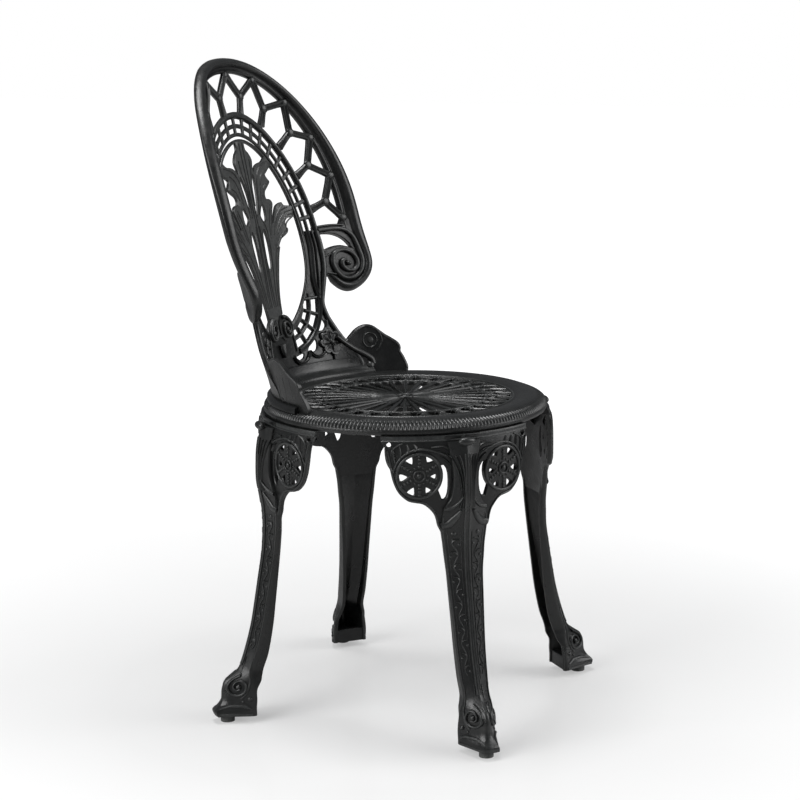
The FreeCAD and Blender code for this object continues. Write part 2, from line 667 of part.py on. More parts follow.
# Leaf spray: a middle leaf, three pairs of side leaves on one stem, two scrolls and a drop at its foot
LEAF_EDGE = [
    [(0.0, 799.0), (12.5, 797.0)],
    [(12.5, 797.0), (12.5, 785.0), (19.0, 779.0), (25.0, 768.5), (22.5, 758.0), (22.0, 752.0)],
    [(22.0, 752.0), (24.5, 752.0)],
    [(24.5, 752.0), (30.0, 759.0), (38.5, 762.3), (48.5, 764.0), (57.0, 770.0)],
    [(57.0, 770.0), (70.0, 758.0)],
    [(70.0, 758.0), (56.0, 748.0), (51.0, 744.5), (53.8, 739.4), (57.5, 733.6), (51.5, 727.7), (42.0, 721.0),
     (40.0, 714.6)],
    [(40.0, 714.6), (41.5, 711.0)],
    [(41.5, 711.0), (50.5, 709.0), (54.5, 703.0), (50.0, 692.0), (43.0, 676.0)],
    [(43.0, 676.0), (46.5, 676.0)],
    [(46.5, 676.0), (53.0, 688.0), (60.5, 698.5), (69.0, 702.2), (75.5, 702.5), (83.0, 698.0),
     (94.0, 696.5)],
    [(94.0, 696.5), (94.0, 680.0)],
    [(94.0, 680.0), (82.0, 679.3), (75.0, 675.0), (76.0, 666.0), (66.4, 655.0), (50.0, 643.0)],
    [(50.0, 643.0), (42.8, 630.0), (35.5, 610.0), (29.3, 590.0), (24.4, 570.0), (21.6, 550.0)],
    [(21.6, 550.0), (22.0, 516.0)],
    [(22.0, 516.0), (9.0, 503.0), (0.0, 486.0)],
]


def leaf_part():
    """Leaf spray, standing in front of the band."""
    edges = []
    for run in LEAF_EDGE + [mirrored(run) for run in LEAF_EDGE]:
        if len(run) == 2:
            edges.append(Part.makeLine(in_plan(*run[0]), in_plan(*run[1])))
        else:
            edges.append(smooth_edge(run))
    outline = Part.Wire(Part.sortEdges(edges)[0])
    slits = []
    for slit in ([(17.0, 748.0), (20.5, 744.0), (18.5, 722.0), (14.0, 700.0), (8.5, 688.0), (6.5, 696.0),
                  (7.9, 720.0), (13.0, 738.0)],
                 [(26.5, 704.5), (31.0, 701.0), (31.0, 686.0), (26.5, 679.5), (17.5, 687.5), (21.5, 697.0)],
                 [(15.0, 670.0), (19.5, 668.0), (23.0, 650.0), (21.5, 622.0), (16.0, 611.0), (11.0, 622.0),
                  (11.2, 650.0)]):
        slits += both_sides(slit)
    slab = hollow_slab(size("leaf_stand"), size("leaf_depth"), 470, 820)
    spray = slab.common(prism([outline] + slits))
    discs = []
    for sign in (-1, 1):
        middle = in_plan(sign * size("scroll_spread"), size("scroll_height"))
        circle = Part.makeCircle(size("scroll_radius"), middle, FreeCAD.Vector(0, 1, 0))
        scroll_slab = hollow_slab(size("leaf_stand") + 2, size("leaf_depth") + 1, 470, 640)
        discs.append(scroll_slab.common(prism([Part.Wire(circle)])))
    return spray.multiFuse(discs)


# Foot and wings: a leaning shell on the seat rim, with an inward flange at its foot
WING_EDGE = [(41.0, 497.0), (42.2, 501.8), (44.7, 509.4), (47.7, 514.7), (50.5, 516.0), (53.2, 513.7),
             (55.9, 507.3), (58.5, 500.5), (61.2, 495.0), (64.0, 488.5)]
WING_FRONT = [(64.0, 488.5), (65.3, 482.0), (65.2, 475.5), (66.8, 466.5), (68.6, 453.0), (68.4, 440.0)]


def foot_part():
    """Foot flange and both wings."""
    top = size("seat_top")
    radius = size("foot_radius")
    lean = size("foot_lean")
    wall = size("foot_wall")
    flange = size("foot_flange")
    rise = size("foot_flange_height")
    high = size("wing_top") + 4
    profile = [(radius - flange, top), (radius - flange, top + rise * 0.45),
               (radius - flange * 0.45, top + rise * 0.8), (radius + 1.2, top + rise * 1.5),
               (radius + lean * (high - top), high),
               (radius + wall + lean * (high - top), high), (radius + wall, top)]
    points = [FreeCAD.Vector(0, r, z) for r, z in profile]
    face = Part.Face(Part.makePolygon(points + [points[0]]))
    face.rotate(FreeCAD.Vector(0, 0, 0), FreeCAD.Vector(0, 0, 1), 71)
    shell = face.revolve(FreeCAD.Vector(0, 0, 0), FreeCAD.Vector(0, 0, 1), -142)
    middle = 55.0

    turn = math.radians(middle)

    def wing_point(angle, z):
        """Point of the wing's outline in the plane square to the wing's middle."""
        local = radius + lean * (z - top)
        along = local * math.sin(math.radians(angle - middle))
        return FreeCAD.Vector(along * math.cos(turn), -along * math.sin(turn), z)

    crown = Part.BSplineCurve()
    crown.interpolate([wing_point(a, z) for a, z in WING_EDGE])
    corners = [wing_point(a, z) for a, z in WING_FRONT]
    inner_low = wing_point(33.0, 440.0)
    inner_high = wing_point(33.0, 488.0)
    edges = [crown.toShape()]
    chain = corners + [inner_low, inner_high, wing_point(*WING_EDGE[0])]
    for start, end in zip(chain[:-1], chain[1:]):
        edges.append(Part.makeLine(start, end))
    wing_face = Part.Face(Part.Wire(edges))
    wing_prism = wing_face.extrude(FreeCAD.Vector(math.sin(turn), math.cos(turn), 0) * 260)
    other = wing_prism.mirror(FreeCAD.Vector(0, 0, 0), FreeCAD.Vector(1, 0, 0))
    centre_box = Part.makeBox(236, 120, 26, FreeCAD.Vector(-118, 120, top - 2))
    return shell.common(wing_prism), shell.common(other), shell.common(centre_box)


def back_bolt_places():
    """Plan places of the four back bolts."""
    places = []
    for angle in (-size("back_bolt_outer"), -size("back_bolt_inner"), size("back_bolt_inner"),
                  size("back_bolt_outer")):
        a = math.radians(angle)
        places.append((size("back_bolt_reach") * math.sin(a), size("back_bolt_reach") * math.cos(a)))
    return places


def build_back():
    """The back casting."""
    pieces = [rim_part(), lattice_part(), leaf_part()] + list(foot_part())
    casting = band_part().multiFuse(pieces)
    top = size("seat_top")
    length = size("back_bolt_grip") - size("rim_deck") - size("back_washer_thick") + 1
    for x, y in back_bolt_places():
        hole = Part.makeCylinder(size("back_bolt_radius") + 0.2, length + 2, FreeCAD.Vector(x, y, top - 2))
        casting = casting.cut(hole)
    # Nothing of the casting hangs below the seat rim's flat top
    below = Part.makeBox(500, 500, 40, FreeCAD.Vector(-250, 0, top - 40))
    casting = casting.cut(below)
    solids = sorted(casting.Solids, key=lambda s: -s.Volume)
    print("back solids", [round(s.Volume) for s in solids])
    feature = doc.addObject("Part::Feature", "BackCasting")
    feature.Shape = solids[0]
    return keep(feature, "backrest")


build_back()


# Leg casting, drawn in its own frame: X runs outwards through the corner, Y across, Z up

# Height, corner reach, half width of the blunt corner, then the flange edge's reach and half width, and the
# reach of the inner edge
FOOT_STATIONS = [
    (10.0, 295.0, 10.0, 247.0, 27.0, 240.0),
    (17.0, 296.0, 10.0, 247.0, 27.0, 240.0),
    (23.0, 288.0, 7.0, 246.0, 27.0, 240.0),
    (32.0, 284.0, 5.0, 245.0, 27.0, 239.0),
    (41.0, 283.5, 4.0, 245.0, 26.5, 238.0),
    (48.0, 283.0, 3.5, 245.5, 20.5, 236.0),
    (59.0, 279.0, 3.0, 245.0, 19.5, 231.0),
    (66.0, 268.0, 3.0, 246.0, 19.0, 229.0),
    (73.0, 258.0, 2.5, 246.0, 18.5, 227.0),
]
SHAFT_STATIONS = [
    (73.0, 258.0, 2.5, 246.0, 18.5, 227.0),
    (97.0, 247.5, 2.5, 236.5, 19.6, 217.0),
    (137.0, 236.0, 2.5, 225.0, 21.3, 206.5),
    (171.0, 229.5, 2.5, 218.0, 22.7, 202.0),
    (205.0, 223.5, 2.5, 211.0, 24.5, 198.5),
    (240.0, 217.5, 2.5, 204.5, 26.0, 195.5),
    (278.0, 214.7, 2.5, 200.5, 28.5, 194.0),
    (305.0, 216.0, 2.5, 200.8, 30.5, 195.0),
    (328.0, 219.5, 2.5, 204.0, 31.0, 198.0),
]
CORNER_STATIONS = [
    (328.0, 219.5, 2.5, 204.0, 31.0, 198.0),
    (343.0, 222.0, 3.0, 211.0, 22.0, 202.0),
    (365.0, 222.0, 4.0, 214.0, 16.0, 202.0),
    (390.0, 221.5, 5.0, 214.0, 14.0, 202.0),
    (414.0, 218.0, 5.0, 213.0, 13.0, 202.0),
    (421.0, 215.0, 5.0, 211.0, 13.0, 202.0),
]


def channel_wire(station):
    """Section of the leg at one height: a channel that opens inwards, its corner blunt."""
    z, corner, nose, edge, half, inner = station
    wall = size("leg_wall")
    slope = (corner - edge) / (half - nose)
    thick = wall * math.sqrt(1 + slope * slope)
    lip = half - wall * 0.9
    web = max(corner - thick - slope * max(lip - nose, 0), inner + 1.5)
    points = [(corner, -nose), (corner, nose), (edge, half), (inner, half - 1), (inner, lip - 0.5),
              (web, lip), (corner - thick, nose * 0.5), (corner - thick, -nose * 0.5), (web, -lip),
              (inner, -lip + 0.5), (inner, 1 - half), (edge, -half)]
    vectors = [FreeCAD.Vector(x, y, z) for x, y in points]
    return Part.makePolygon(vectors + [vectors[0]])


def bracket_plan(points):
    """Bracket outline points, given as arc length from the corner and height, seen along the leg's X."""
    reach = size("leg_reach")
    return [FreeCAD.Vector(150, reach * math.sin(arc / reach), z) for arc, z in points]


def bracket_cut(wire):
    """Prism through the bracket skirt along X."""
    return Part.Face(wire).extrude(FreeCAD.Vector(90, 0, 0))


def bracket_hole(arc, z, radius):
    """Round opening through the bracket."""
    centre = bracket_plan([(arc, z)])[0]
    return Part.makeCylinder(radius, 90, centre, FreeCAD.Vector(1, 0, 0))


def wheel_opening(sign, arc, z, middle):
    """Opening between two arms of a wheel; middle is its direction from the wheel's centre, in degrees."""
    hub = size("wheel_hub")
    rim = size("wheel_rim")
    half_arm = size("wheel_arm") / 2
    points = []
    for side in (1, -1):
        radii = (hub, (hub + rim) / 2, rim) if side > 0 else (rim, (hub + rim) / 2, hub)
        for radius in radii:
            # The sides run along the arms; the outer corners are drawn in a little
            spread = 30.0 - math.degrees(half_arm / radius) - (4.0 if radius == rim else 0.0)
            turn = math.radians(middle + side * spread)
            points.append((sign * (arc + radius * math.cos(turn)), z + radius * math.sin(turn)))
    plan = bracket_plan(points)
    return bracket_cut(Part.makePolygon(plan + [plan[0]]))


def bracket_part():
    """Curved skirt under the seat with its two pierced wheels, and the rail along its top."""
    reach = size("leg_reach")
    wall = size("leg_wall")
    top = size("seat_top") - size("rim_drop")
    angle = size("bracket_angle")
    low = 300.0
    start = FreeCAD.Vector(0, 0, low)
    up = FreeCAD.Vector(0, 0, 1)
    shell = Part.makeCylinder(reach, top - low - 3, start, up, 2 * angle + 8)
    shell = shell.cut(Part.makeCylinder(reach - wall, top - low, start, up, 360))
    shell.rotate(FreeCAD.Vector(0, 0, 0), up, -angle - 4)
    arc = size("wheel_angle") * math.pi / 180 * reach
    z0 = size("wheel_height")
    side = [(33.0, 296.0), (37.5, 305.0), (39.2, 313.0), (42.5, 321.5), (50.4, 330.8), (58.5, 336.3),
            (67.5, 338.0), (78.1, 341.0), (89.7, 351.4), (96.6, 365.2), (100.7, 381.3), (103.5, 397.4),
            (107.0, 411.0), (113.5, 424.0)]
    curve = Part.BSplineCurve()
    curve.interpolate(bracket_plan(side))
    other = Part.BSplineCurve()
    other.interpolate(bracket_plan([(-a, z) for a, z in reversed(side)]))
    corners = bracket_plan([side[-1], (113.5, 440.0), (-113.5, 440.0), (-side[-1][0], side[-1][1])])
    low_pair = bracket_plan([(-side[0][0], side[0][1]), side[0]])
    top_edge = Part.makePolygon(corners).Edges
    outline = Part.Wire([curve.toShape()] + top_edge + [other.toShape(), Part.makeLine(*low_pair)])
    skirt = shell.common(bracket_cut(outline))
    cuts = []
    for sign in (-1, 1):
        cuts += [wheel_opening(sign, arc, z0, 60 * k) for k in range(6)]
        crescent = []
        for turn in (158, 180, 202, 222):
            a = math.radians(turn)
            crescent.append((arc + 31.5 * math.cos(a), z0 + 31.5 * math.sin(a)))
        crescent += [(26.3, 340.5), (19.4, 346.7), (16.4, 364.0), (21.0, 381.3), (28.6, 389.4)]
        points = bracket_plan([(sign * a, z) for a, z in crescent])
        cuts.append(bracket_cut(Part.makePolygon(points + [points[0]])))
        cuts.append(bracket_hole(sign * 103.0, 417.0, size("tip_hole")))
    skirt = skirt.cut(cuts)
    rail_low = top - size("rail_height")
    rail_start = FreeCAD.Vector(0, 0, rail_low)
    height = size("rail_height")
    rail = Part.makeCylinder(reach + size("rail_proud"), height, rail_start, up, 2 * angle)
    rail = rail.cut(Part.makeCylinder(reach - size("rail_inset"), height, rail_start, up, 360))
    rail.rotate(FreeCAD.Vector(0, 0, 0), up, -angle)
    return skirt, rail


def lofted(stations, ruled):
    """Loft through the leg's sections."""
    return Part.makeLoft([channel_wire(station) for station in stations], True, ruled)


def foot_shell():
    """Open foot of the channel; its lower edge rises from the toe to the flanges' edges."""
    low = size("foot_height")
    high = low + size("foot_rise")
    wedge = [(200.0, low - 5), (200.0, high), (247.0, high), (285.0, low), (285.0, low - 5)]
    points = [FreeCAD.Vector(x, -40, z) for x, z in wedge]
    below = Part.Face(Part.makePolygon(points + [points[0]])).extrude(FreeCAD.Vector(0, 80, 0))
    return lofted(FOOT_STATIONS, True).cut(below)


def knob_shape():
    """Oval knob across the top of the corner, a loft through eight-sided rings."""
    length = size("knob_length")
    centre = FreeCAD.Vector(size("knob_reach"), 0, size("knob_height"))
    rings = []
    for place in (-0.5, -0.4, -0.2, 0.2, 0.4, 0.5):
        radius = size("knob_radius") * math.sqrt(1.04 - 3.6 * place * place)
        ring = []
        for k in range(8):
            turn = math.radians(45 * k + 22.5)
            offset = FreeCAD.Vector(radius * math.cos(turn), place * length, radius * math.sin(turn))
            ring.append(centre + offset)
        rings.append(Part.makePolygon(ring + [ring[0]]))
    return Part.makeLoft(rings, True, True)


def leg_shape():
    """One leg: channel shaft, foot, corner rib, bracket, lug and sole."""
    pieces = [lofted(SHAFT_STATIONS, False), foot_shell(), lofted(CORNER_STATIONS, True)]
    pieces += list(bracket_part())
    top = size("seat_top") - size("rim_drop")
    reach = size("leg_reach")
    # Lug that reaches in under the seat, with a rounded end
    width = size("lug_width")
    start = reach - size("leg_wall") / 2 - size("lug_depth") - 4
    lug = Part.makeBox(size("lug_depth") + 4, width, size("lug_plate"),
                       FreeCAD.Vector(start, -width / 2, top - size("lug_plate")))
    pieces.append(lug)
    # Rib under the lug
    rib_points = [FreeCAD.Vector(x, -3, z) for x, z in ((204, top - 3), (162, top - 3), (204, top - 44))]
    rib = Part.Face(Part.makePolygon(rib_points + [rib_points[0]])).extrude(FreeCAD.Vector(0, 6, 0))
    pieces.append(rib)
    # Small sole in the toe, with a boss round the glide's stem
    low = size("foot_height")
    corners = ((292.0, -7.0), (292.0, 7.0), (268.0, 16.0), (265.0, 16.0), (265.0, -16.0), (268.0, -16.0))
    sole_points = [FreeCAD.Vector(x, y, low) for x, y in corners]
    sole_face = Part.Face(Part.makePolygon(sole_points + [sole_points[0]]))
    pieces.append(sole_face.extrude(FreeCAD.Vector(0, 0, size("foot_plate"))))
    glide_place = FreeCAD.Vector(size("glide_reach"), 0, low)
    pieces.append(Part.makeCylinder(size("glide_stem") + 4, size("glide_boss"), glide_place))
    pieces.append(knob_shape())
    # Round scroll faces on both sides of the foot
    for sign in (-1, 1):
        direction = FreeCAD.Vector(25, sign * 38, 0).normalize()
        centre = FreeCAD.Vector(261.0, sign * 14.5, 50.0)
        pieces.append(Part.makeCylinder(16.0, 5.0, centre - direction * 1.5, direction))
    leg = pieces[0].multiFuse(pieces[1:])
    bore = size("glide_stem") + size("stem_clearance")
    glide_place.z = low - 0.5
    leg = leg.cut(Part.makeCylinder(bore, size("glide_stem_height") + 1, glide_place))
    for sign in (-1, 1):
        bolt_place = FreeCAD.Vector(size("leg_bolt_reach"), sign * size("leg_bolt_spread") / 2, top - 20)
        leg = leg.cut(Part.makeCylinder(size("leg_bolt_radius") + size("bolt_clearance"), 30, bolt_place))
    solids = sorted(leg.Solids, key=lambda s: -s.Volume)
    print("leg solids", [round(s.Volume) for s in solids])
    return solids[0]


def turned(angle):
    """Placement of a leg's own frame round the chair's axis."""
    return FreeCAD.Placement(FreeCAD.Vector(0, 0, 0), FreeCAD.Rotation(FreeCAD.Vector(0, 0, 1), angle))


def build_legs():
    """Four legs from one casting pattern."""
    shape = leg_shape()
    for name, angle in LEG_ANGLES.items():
        feature = doc.addObject("Part::Feature", name + "_leg_casting")
        feature.Shape = shape
        feature.Placement = turned(angle)
        keep(feature, name + "_leg")


build_legs()


# Glides: a round pad with a stem, pressed into the boss in the foot. The small round pieces have flat sides,
# many enough to read as round.

def prism_piece(name, sides, radius, height):
    """Upright prism at the origin; radius and height are expressions."""
    prism = doc.addObject("Part::Prism", name)
    prism.Polygon = sides
    bind(prism, "Circumradius", radius)
    bind(prism, "Height", height)
    return prism


def build_glides():
    """One glide under each leg."""
    for name, angle in LEG_ANGLES.items():
        pad = prism_piece(name + "_glide_pad", 24, "Sizes.glide_radius", "Sizes.foot_height")
        stem_top = "Sizes.foot_height + Sizes.glide_stem_height"
        stem = prism_piece(name + "_glide_stem", 12, "Sizes.glide_stem", stem_top)
        glide = doc.addObject("Part::MultiFuse", name + "_glide_turned")
        glide.Shapes = [pad, stem]
        bind(glide, "Placement.Base.x", "Sizes.glide_reach * cos(%d deg)" % angle)
        bind(glide, "Placement.Base.y", "Sizes.glide_reach * sin(%d deg) - Sizes.setback" % angle)
        keep(glide, name + "_glide")


build_glides()


# Fasteners: hexagon bolts from below with a washer under each head

def bolt_piece(name, head_flats, head_height, radius, length):
    """Hexagon bolt standing on its head at the origin, all sizes as expressions."""
    head = prism_piece(name + "_head", 6, "(%s) / 2 / cos(30 deg)" % head_flats, head_height)
    shank = prism_piece(name + "_shank", 16, radius, "%s + %s" % (head_height, length))
    fused = doc.addObject("Part::MultiFuse", name)
    fused.Shapes = [head, shank]
    return fused


def washer_piece(name, radius, bore, thickness):
    """Flat washer at the origin, all sizes as expressions."""
    disc = prism_piece(name + "_disc", 24, radius, thickness)
    hole = prism_piece(name + "_bore", 16, bore, thickness)
    ring = doc.addObject("Part::Cut", name)
    ring.Base = disc
    ring.Tool = hole
    return ring


def group(name, pieces, label):
    """Identical fasteners of one place as one node."""
    compound = doc.addObject("Part::Compound", name)
    compound.Links = pieces
    return keep(compound, label)


def place(obj, x, y, z):
    """Puts a fastener at a place given by expressions."""
    for axis, text in (("x", x), ("y", y), ("z", z)):
        bind(obj, "Placement.Base." + axis, text)


def build_fasteners():
    """Bolts and washers of the legs and of the back."""
    lug_under = "Sizes.seat_top - Sizes.rim_drop - Sizes.lug_plate"
    washer_z = lug_under + " - Sizes.leg_washer_thick"
    bolt_z = washer_z + " - Sizes.leg_head_height"
    for name, angle in LEG_ANGLES.items():
        bolts = []
        washers = []
        for k, sign in enumerate((-1, 1)):
            across = "%d * Sizes.leg_bolt_spread / 2" % sign
            x = "Sizes.leg_bolt_reach * cos(%d deg) - %s * sin(%d deg)" % (angle, across, angle)
            y = "Sizes.leg_bolt_reach * sin(%d deg) + %s * cos(%d deg)" % (angle, across, angle)
            bolt = bolt_piece("%s_bolt_%d" % (name, k), "Sizes.leg_head_flats", "Sizes.leg_head_height",
                              "Sizes.leg_bolt_radius", "Sizes.leg_bolt_grip")
            place(bolt, x, y, bolt_z)
            bolts.append(bolt)
            washer = washer_piece("%s_washer_%d" % (name, k), "Sizes.leg_washer_radius",
                                  "Sizes.leg_bolt_radius + Sizes.bolt_clearance", "Sizes.leg_washer_thick")
            place(washer, x, y, washer_z)
            washers.append(washer)
        group(name + "_bolt_group", bolts, name + "_leg_bolts")
        group(name + "_washer_group", washers, name + "_leg_washers")
    deck_under = "Sizes.seat_top - Sizes.rim_deck"
    bolts = []
    washers = []
    k = 0
    for angle in ("Sizes.back_bolt_inner", "Sizes.back_bolt_outer"):
        for sign in (-1, 1):
            x = "%d * Sizes.back_bolt_reach * sin(%s * 1 deg)" % (sign, angle)
            y = "Sizes.back_bolt_reach * cos(%s * 1 deg)" % angle
            bolt = bolt_piece("back_bolt_%d" % k, "Sizes.back_head_flats", "Sizes.back_head_height",
                              "Sizes.back_bolt_radius", "Sizes.back_bolt_grip")
            place(bolt, x, y, deck_under + " - Sizes.back_washer_thick - Sizes.back_head_height")
            bolts.append(bolt)
            washer = washer_piece("back_washer_%d" % k, "Sizes.back_washer_radius",
                                  "Sizes.back_bolt_radius + Sizes.bolt_clearance", "Sizes.back_washer_thick")
            place(washer, x, y, deck_under + " - Sizes.back_washer_thick")
            washers.append(washer)
            k += 1
    group("back_bolt_group", bolts, "back_bolts")
    group("back_washer_group", washers, "back_washers")


build_fasteners()
doc.recompute()

# The list of sub-parts is checked before anything is written
failed = [obj.Name for obj in doc.Objects if "Invalid" in obj.State or "Error" in obj.State]
if failed:
    raise RuntimeError("failed: " + ", ".join(failed))
for part in parts:
    if part.Shape.isNull() or not part.Shape.isValid():
        raise RuntimeError("bad shape: " + part.Label)
os.makedirs("parts", exist_ok=True)
for part in parts:
    part.Shape.exportStep("parts/%s.step" % part.Label)
    print(part.Label, len(part.Shape.Solids), round(part.Shape.Volume), part.Shape.BoundBox)
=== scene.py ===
import logging
import math
from contextlib import contextmanager
from dataclasses import dataclass
from enum import Enum
from typing import Callable, Iterator, Optional, Sequence

import bmesh
import bpy
from mathutils import Matrix, Vector


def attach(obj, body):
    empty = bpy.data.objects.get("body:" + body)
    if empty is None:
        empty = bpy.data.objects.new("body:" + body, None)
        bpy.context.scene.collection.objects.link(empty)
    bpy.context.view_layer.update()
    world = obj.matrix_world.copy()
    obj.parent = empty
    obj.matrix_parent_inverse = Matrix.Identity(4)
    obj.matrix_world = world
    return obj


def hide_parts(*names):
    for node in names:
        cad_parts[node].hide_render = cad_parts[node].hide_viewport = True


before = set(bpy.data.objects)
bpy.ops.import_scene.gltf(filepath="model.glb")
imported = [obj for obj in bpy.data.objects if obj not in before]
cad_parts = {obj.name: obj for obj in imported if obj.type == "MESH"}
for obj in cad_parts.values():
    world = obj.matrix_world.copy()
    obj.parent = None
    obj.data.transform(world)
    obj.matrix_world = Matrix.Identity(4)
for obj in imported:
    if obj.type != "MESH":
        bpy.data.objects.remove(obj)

logging.basicConfig(level=logging.INFO, format="%(message)s")
log = logging.getLogger("chair")

# Drawings are in millimetres round the seat's axis, the front towards -Y and the floor at z = 0. The packed
# frame has its own middle and metres, so every finished mesh is moved by SETBACK and scaled by MM.
MM = 0.001
SETBACK = 34.1
SEAT_TOP = 444.0
LEG_ANGLES = {"front_right": 225.0, "front_left": 315.0, "rear_right": 135.0, "rear_left": 45.0}

# Edges sharper than this many degrees stay sharp
CREASE = 42.0

Point = tuple[float, float]
Spot = tuple[float, float, float]
Section = list[tuple[float, float, float, float]]
Colour = tuple[float, float, float, float]
Taper = Callable[[float], float]


class Profile(Enum):
    """Fronts of the casting's bars, left halves: pairs of place across, -1 to 0, and height, 0 to 1."""

    ROLL = ((-1.0, 0.0), (-0.93, 0.4), (-0.72, 0.74), (-0.38, 0.94), (0.0, 1.0))
    RIDGE = ((-1.0, 0.0), (-0.88, 0.28), (-0.34, 0.7), (0.0, 1.0))
    FLAT = ((-1.0, 0.0), (-0.96, 0.6), (-0.78, 1.0))
    TWIN = ((-1.0, 0.0), (-0.86, 0.62), (-0.6, 1.0), (-0.32, 0.72), (0.0, 0.3))

    @property
    def front(self) -> tuple[Point, ...]:
        """Both halves."""
        return self.value + tuple((-across, height) for across, height in reversed(self.value) if across)


# A bar's sides fall straight over this share of its depth, then run in to this share of its width
SIDE_SHARE = 0.3
REAR_SHARE = 0.85


@dataclass(frozen=True)
class Bar:
    """Section of one kind of cast bar, in millimetres from the face that it is drawn on."""

    profile: Profile
    width: float
    base: float
    rise: float
    back: float
    # Scale on the front's crest value, which sets the paint's painted shade, wear and painted highlight
    wear_and_highlight: float = 1.0

    def section(self, scale: float) -> list[Spot]:
        """Closed section as place across, height and crest, its width scaled."""
        half = self.width / 2 * scale
        rear = half * REAR_SHARE
        side = self.base - SIDE_SHARE * (self.base - self.back)
        front = [(place * half, self.base + self.rise * height, height * self.wear_and_highlight)
                 for place, height in self.profile.front]
        return front + [(half, side, 0.0), (rear, self.back, 0.0), (-rear, self.back, 0.0), (-half, side, 0.0)]


# Curves in a drawing

def resampled(points: Sequence[Point], count: int) -> list[Point]:
    """Points at even lengths along a polyline, count spans."""
    lengths = [0.0]
    for (a0, b0), (a1, b1) in zip(points[:-1], points[1:]):
        lengths.append(lengths[-1] + math.hypot(a1 - a0, b1 - b0))
    result = []
    k = 0
    for i in range(count + 1):
        goal = lengths[-1] * i / count
        while k < len(points) - 2 and lengths[k + 1] < goal:
            k += 1
        t = (goal - lengths[k]) / max(lengths[k + 1] - lengths[k], 1e-9)
        result.append((points[k][0] + (points[k + 1][0] - points[k][0]) * t,
                       points[k][1] + (points[k + 1][1] - points[k][1]) * t))
    return result


def length_of(points: Sequence[Point]) -> float:
    """Length of a polyline."""
    return sum(math.hypot(q[0] - p[0], q[1] - p[1]) for p, q in zip(points[:-1], points[1:]))


def curve(points: Sequence[Point], step: float = 2.5) -> list[Point]:
    """Smooth path through control points, at about even steps."""
    ends = [points[0]] + list(points) + [points[-1]]
    dense = []
    for p0, p1, p2, p3 in zip(ends[:-3], ends[1:-2], ends[2:-1], ends[3:]):
        for k in range(8):
            t = k / 8
            dense.append(tuple(0.5 * (2 * p1[n] + (p2[n] - p0[n]) * t
                                      + (2 * p0[n] - 5 * p1[n] + 4 * p2[n] - p3[n]) * t * t
                                      + (3 * p1[n] - p0[n] - 3 * p2[n] + p3[n]) * t ** 3) for n in (0, 1)))
    dense.append(tuple(points[-1]))
    return resampled(dense, max(2, math.ceil(length_of(dense) / step)))


def line(start: Point, end: Point, step: float = 6.0) -> list[Point]:
    """Straight path."""
    return resampled([start, end], max(2, math.ceil(length_of([start, end]) / step)))


def oval(half: float, rise: float, centre: Point, start: float, end: float, step: float = 2.5,
         power: float = 2.0) -> list[Point]:
    """Stretch of an oval; angle 0 is its top and 90 its right side."""
    dense = []
    for i in range(241):
        turn = math.radians(start + (end - start) * i / 240)
        across = math.copysign(abs(math.sin(turn)) ** (2 / power), math.sin(turn))
        up = math.copysign(abs(math.cos(turn)) ** (2 / power), math.cos(turn))
        dense.append((centre[0] + half * across, centre[1] + rise * up))
    return resampled(dense, max(3, math.ceil(length_of(dense) / step)))


def polar(radius: float, angle: float, centre: Point = (0.0, 0.0)) -> Point:
    """Place at a radius and an angle in degrees, anticlockwise from the right."""
    turn = math.radians(angle)
    return centre[0] + radius * math.cos(turn), centre[1] + radius * math.sin(turn)


def spiral(centre: Point, outer: float, inner: float, start: float, turns: float,
           step: float = 1.6) -> list[Point]:
    """Spiral inwards; start in degrees from the right, turns negative for clockwise."""
    count = 160
    dense = [polar(outer + (inner - outer) * i / count, start + 360 * turns * i / count, centre)
             for i in range(count + 1)]
    return resampled(dense, max(4, math.ceil(length_of(dense) / step)))


def bowed(start: Point, end: Point, across: float, up: float) -> list[Point]:
    """Control points of a path between two places, its middle moved."""
    return [start, ((start[0] + end[0]) / 2 + across, (start[1] + end[1]) / 2 + up), end]


def arc(centre: Point, radius: float, start: float, end: float, step: float = 2.5) -> list[Point]:
    """Stretch of a circle, angles anticlockwise from the right."""
    return spiral(centre, radius, radius, start, (end - start) / 360, step)


def mirrored(points: Sequence[Point]) -> list[Point]:
    """Points on the other side of the middle, in reverse order."""
    return [(-a, b) for a, b in reversed(points)]


def even_angles(half: float, rise: float, cells: int) -> list[float]:
    """Angles that part a quarter of an ellipse, from its top, in even lengths."""
    lengths = [0.0]
    for i in range(720):
        low = math.pi / 2 * i / 720
        high = math.pi / 2 * (i + 1) / 720
        lengths.append(lengths[-1] + math.hypot(half * (math.sin(high) - math.sin(low)),
                                                rise * (math.cos(high) - math.cos(low))))
    return [90 * min(range(721), key=lambda n: abs(lengths[n] - lengths[-1] * k / cells)) / 720
            for k in range(cells + 1)]


def bump(value: float, middle: float, spread: float) -> float:
    """Smooth hill of height 1."""
    return math.exp(-((value - middle) / spread) ** 2)


def ramp(value: float, start: float, end: float) -> float:
    """0 up to start, 1 from end on and even between them."""
    return min(1.0, max(0.0, (value - start) / (end - start)))


def fade(start: float, end: float) -> Taper:
    """Width factor that runs evenly from one value to another."""
    return lambda t: start + (end - start) * t


def swell(low: float, rise: float, first: float = 0.0, span: float = 1.0) -> Taper:
    """Width factor like half a wave, of which it runs from share first over share span."""
    return lambda t: low + rise * math.sin(math.pi * min(1.0, first + span * t))


